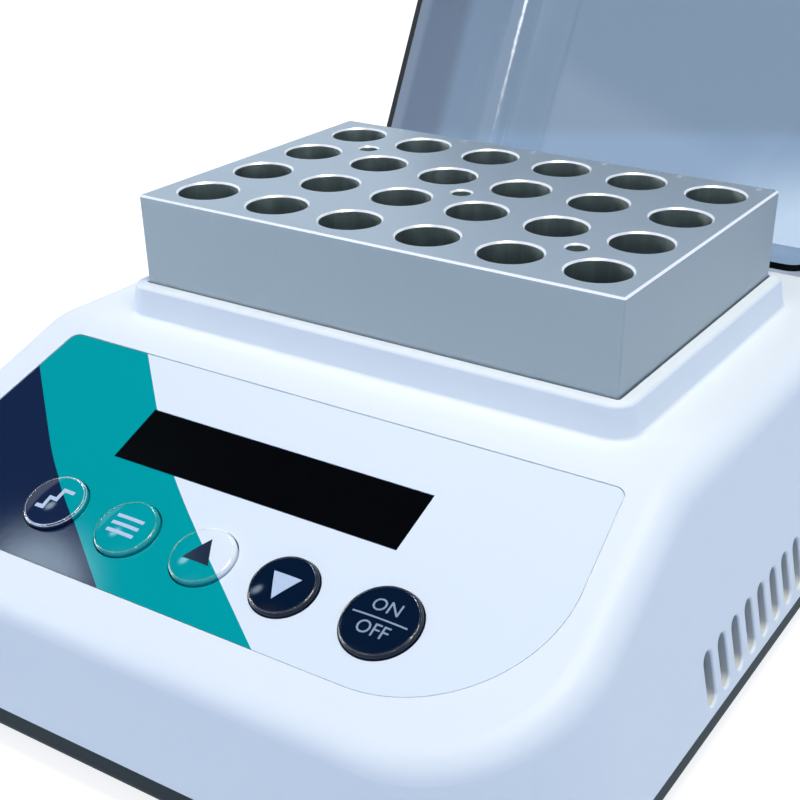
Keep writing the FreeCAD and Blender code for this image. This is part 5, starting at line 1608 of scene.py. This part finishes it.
@dataclass(frozen=True)
class Studio:
    """The camera, the pale floor, the world and the lamps."""

    azimuth: float = 31.70
    elevation: float = 30.61
    roll: float = 0.247
    eye: tuple[float, float, float] = (0.14225, -0.24656, 0.15966)
    lens: float = 60.086
    sensor: float = 36.0
    clip: tuple[float, float] = (0.01, 50.0)
    shift: tuple[float, float] = (-0.0669, 0.16125)
    ambient: Colour = (0.15, 0.275, 0.52)
    ceiling: Colour = (0.015, 0.02, 0.025)
    ceiling_from: tuple[float, float] = (0.606, 0.622)
    horizon: Colour = (0.95, 1.03, 1.12)
    windows: tuple[Window, ...] = (
        Window((-0.50, -0.38, 0.78), 20.0, 1.6),
        Window((-0.674, 0.024, 0.738), 3.4, 8.0, (0.72, 0.9, 1.05)),
        Window((-0.272, -0.772, 0.574), 6.2, 9.0, (0.85, 0.95, 1.0)),
        Window((0.47, -0.585, 0.66), 9.5, 19.0),
        Window((-0.89, -0.30, 0.22), 22.0, 22.0),
    )
    window_core: float = 3.0
    floor_size: float = 6.0
    floor_lit: Colour = (0.8, 0.83, 0.87)
    floor_paint: Colour = (0.35, 0.35, 0.35)
    floor_glow: float = 0.85
    # Painted light: seen through the lid, the floor glows brighter than white up to this band, and nearly white
    # past it.
    bench_edge: tuple[float, float] = (0.625, 0.65)
    bench: Colour = (1.12, 1.2, 1.33)
    beyond: Colour = (0.98, 0.98, 1.0)
    mirrored_floor: Colour = (0.5, 0.56, 0.62)
    lamps: tuple[Lamp, ...] = (
        Lamp("overhead", (0.18, -0.08, 1.0), (0.35, 0.35), 6.9, (1.0, 0.924, 0.746)),
        Lamp("front_left", (-0.45, -0.50, 0.75), (0.45, 0.35), 1.1, (1.0, 0.885, 0.77), False),
        Lamp("rear_fill", (0.05, 0.95, 0.22), (0.6, 0.3), 1.2, (1.0, 0.86, 0.66), False),
    )

    def camera(self) -> None:
        """Makes the camera."""
        turn, tilt, lean = (math.radians(a) for a in (self.azimuth, self.elevation, self.roll))
        level = math.cos(tilt)
        back = Vector((math.sin(turn) * level, -math.cos(turn) * level, math.sin(tilt)))
        right = (-back).cross(Vector((0, 0, 1))).normalized()
        up = right.cross(-back)
        across = math.cos(lean) * right + math.sin(lean) * up
        upright = -math.sin(lean) * right + math.cos(lean) * up
        data = bpy.data.cameras.new("camera")
        data.sensor_width = self.sensor
        data.lens = self.lens
        data.shift_x, data.shift_y = self.shift
        data.clip_start, data.clip_end = self.clip
        camera = bpy.data.objects.new("camera", data)
        matrix = Matrix((across, upright, back)).transposed().to_4x4()
        matrix.translation = Vector(self.eye)
        camera.matrix_world = matrix
        bpy.context.scene.collection.objects.link(camera)
        bpy.context.scene.camera = camera

    def floor(self) -> None:
        """Makes the floor: white to the eye, still dimmed by shadow, and glowing brighter than white near the
        heater when seen through the lid, as painted light.
        """
        made = bpy.data.materials.new("pale_floor")
        wiring = emptied(made)
        result = wiring.node("ShaderNodeOutputMaterial")
        diffuse = wiring.node("ShaderNodeBsdfDiffuse", {"Color": opaque(self.floor_lit)})
        paint = wiring.node("ShaderNodeBsdfDiffuse", {"Color": opaque(self.floor_paint)})
        path = wiring.node("ShaderNodeLightPath").outputs
        place = wiring.node("ShaderNodeTexCoord").outputs["Object"]
        turn = math.radians(self.azimuth)
        away = (-math.sin(turn), math.cos(turn), 0.0)
        eye = Vector(away).dot(Vector(self.eye))
        far = wiring.vector("DOT_PRODUCT", place, away).outputs["Value"]
        # Painted light seen through the lid: a brighter glow near the heater.
        share = wiring.span(far, *(eye + edge for edge in self.bench_edge))
        through = wiring.blend(share, opaque(self.bench), opaque(self.beyond))
        light = wiring.blend(path["Is Glossy Ray"], opaque((1, 1, 1)), opaque(self.mirrored_floor))
        light = wiring.blend(path["Is Transmission Ray"], light, through)
        glow = wiring.node("ShaderNodeEmission", {"Color": light, "Strength": self.floor_glow})
        shown = wiring.node("ShaderNodeAddShader", {0: paint.outputs[0], 1: glow.outputs[0]})
        seen = wiring.math("MAXIMUM", path["Is Camera Ray"], path["Is Glossy Ray"])
        seen = wiring.math("MAXIMUM", seen, path["Is Transmission Ray"])
        mixed = wiring.node(
            "ShaderNodeMixShader", {0: seen, 1: diffuse.outputs[0], 2: shown.outputs[0]}
        )
        wiring.feed(result.inputs["Surface"], mixed.outputs[0])
        half = self.floor_size / 2
        mesh = bpy.data.meshes.new("floor")
        corners = [(-half, -half, 0), (half, -half, 0), (half, half, 0), (-half, half, 0)]
        mesh.from_pydata(corners, [], [(0, 1, 2, 3)])
        mesh.materials.append(made)
        floor = bpy.data.objects.new("floor", mesh)
        bpy.context.scene.collection.objects.link(floor)

    def world(self) -> None:
        """Makes the world: white to the eye, a cool fill, soft windows in reflections."""
        world = bpy.data.worlds.new("studio")
        bpy.context.scene.world = world
        wiring = emptied(world)
        result = wiring.node("ShaderNodeOutputWorld")
        path = wiring.node("ShaderNodeLightPath").outputs
        white = opaque((1, 1, 1))
        direction = wiring.node("ShaderNodeTexCoord").outputs["Generated"]
        height = wiring.node("ShaderNodeSeparateXYZ", {0: direction}).outputs["Z"]
        dark = wiring.span(height, *self.ceiling_from)
        mirrored = wiring.blend(dark, opaque(self.horizon), opaque(self.ceiling))
        for window in self.windows:
            aim = tuple(Vector(window.towards).normalized())
            cosine = wiring.vector("DOT_PRODUCT", direction, aim).outputs["Value"]
            edge = math.cos(math.radians(window.half_angle))
            inner = math.cos(math.radians(window.half_angle / self.window_core))
            share = wiring.span(cosine, edge, inner)
            share = wiring.math("MULTIPLY", share, wiring.math("MULTIPLY", share, share))
            bright = opaque(tuple(window.strength * part for part in window.colour))
            mirrored = wiring.blend(share, mirrored, bright)
        colour = wiring.blend(path["Is Glossy Ray"], opaque(self.ambient), mirrored)
        seen = wiring.math("MAXIMUM", path["Is Camera Ray"], path["Is Transmission Ray"])
        colour = wiring.blend(seen, colour, white)
        sky = wiring.node("ShaderNodeBackground", {"Color": colour, "Strength": 1.0})
        wiring.feed(result.inputs["Surface"], sky.outputs[0])

    def light(self) -> None:
        """Hangs the lamps, each turned to the object's middle."""
        low, high = CAD_BOX
        middle = (low + high) / 2
        for lamp in self.lamps:
            data = bpy.data.lights.new(lamp.name, "AREA")
            data.shape = "RECTANGLE"
            data.size, data.size_y = lamp.size
            data.energy = lamp.power
            data.color = lamp.colour
            made = bpy.data.objects.new(lamp.name, data)
            made.location = lamp.place
            aim = middle - Vector(lamp.place)
            made.rotation_euler = aim.to_track_quat("-Z", "Y").to_euler()
            made.visible_glossy = lamp.mirrored
            bpy.context.scene.collection.objects.link(made)

    def build(self) -> None:
        """Sets the whole studio up."""
        self.camera()
        self.floor()
        self.world()
        self.light()
        bpy.context.scene.view_settings.view_transform = "Standard"


def main() -> None:
    """Builds the studio and the heater's sub-assemblies in order."""
    logging.basicConfig(level=logging.INFO, format="%(message)s")
    Studio().build()
    log.info("studio set up")
    for part in (Casing(), HingedLid(), ControlPanel(), HeaterStack(), MainsEntry(), Electronics()):
        part.build()
        log.info("%s built", type(part).__name__)
    bpy.context.view_layer.update()


if __name__ == "__main__":
    main()
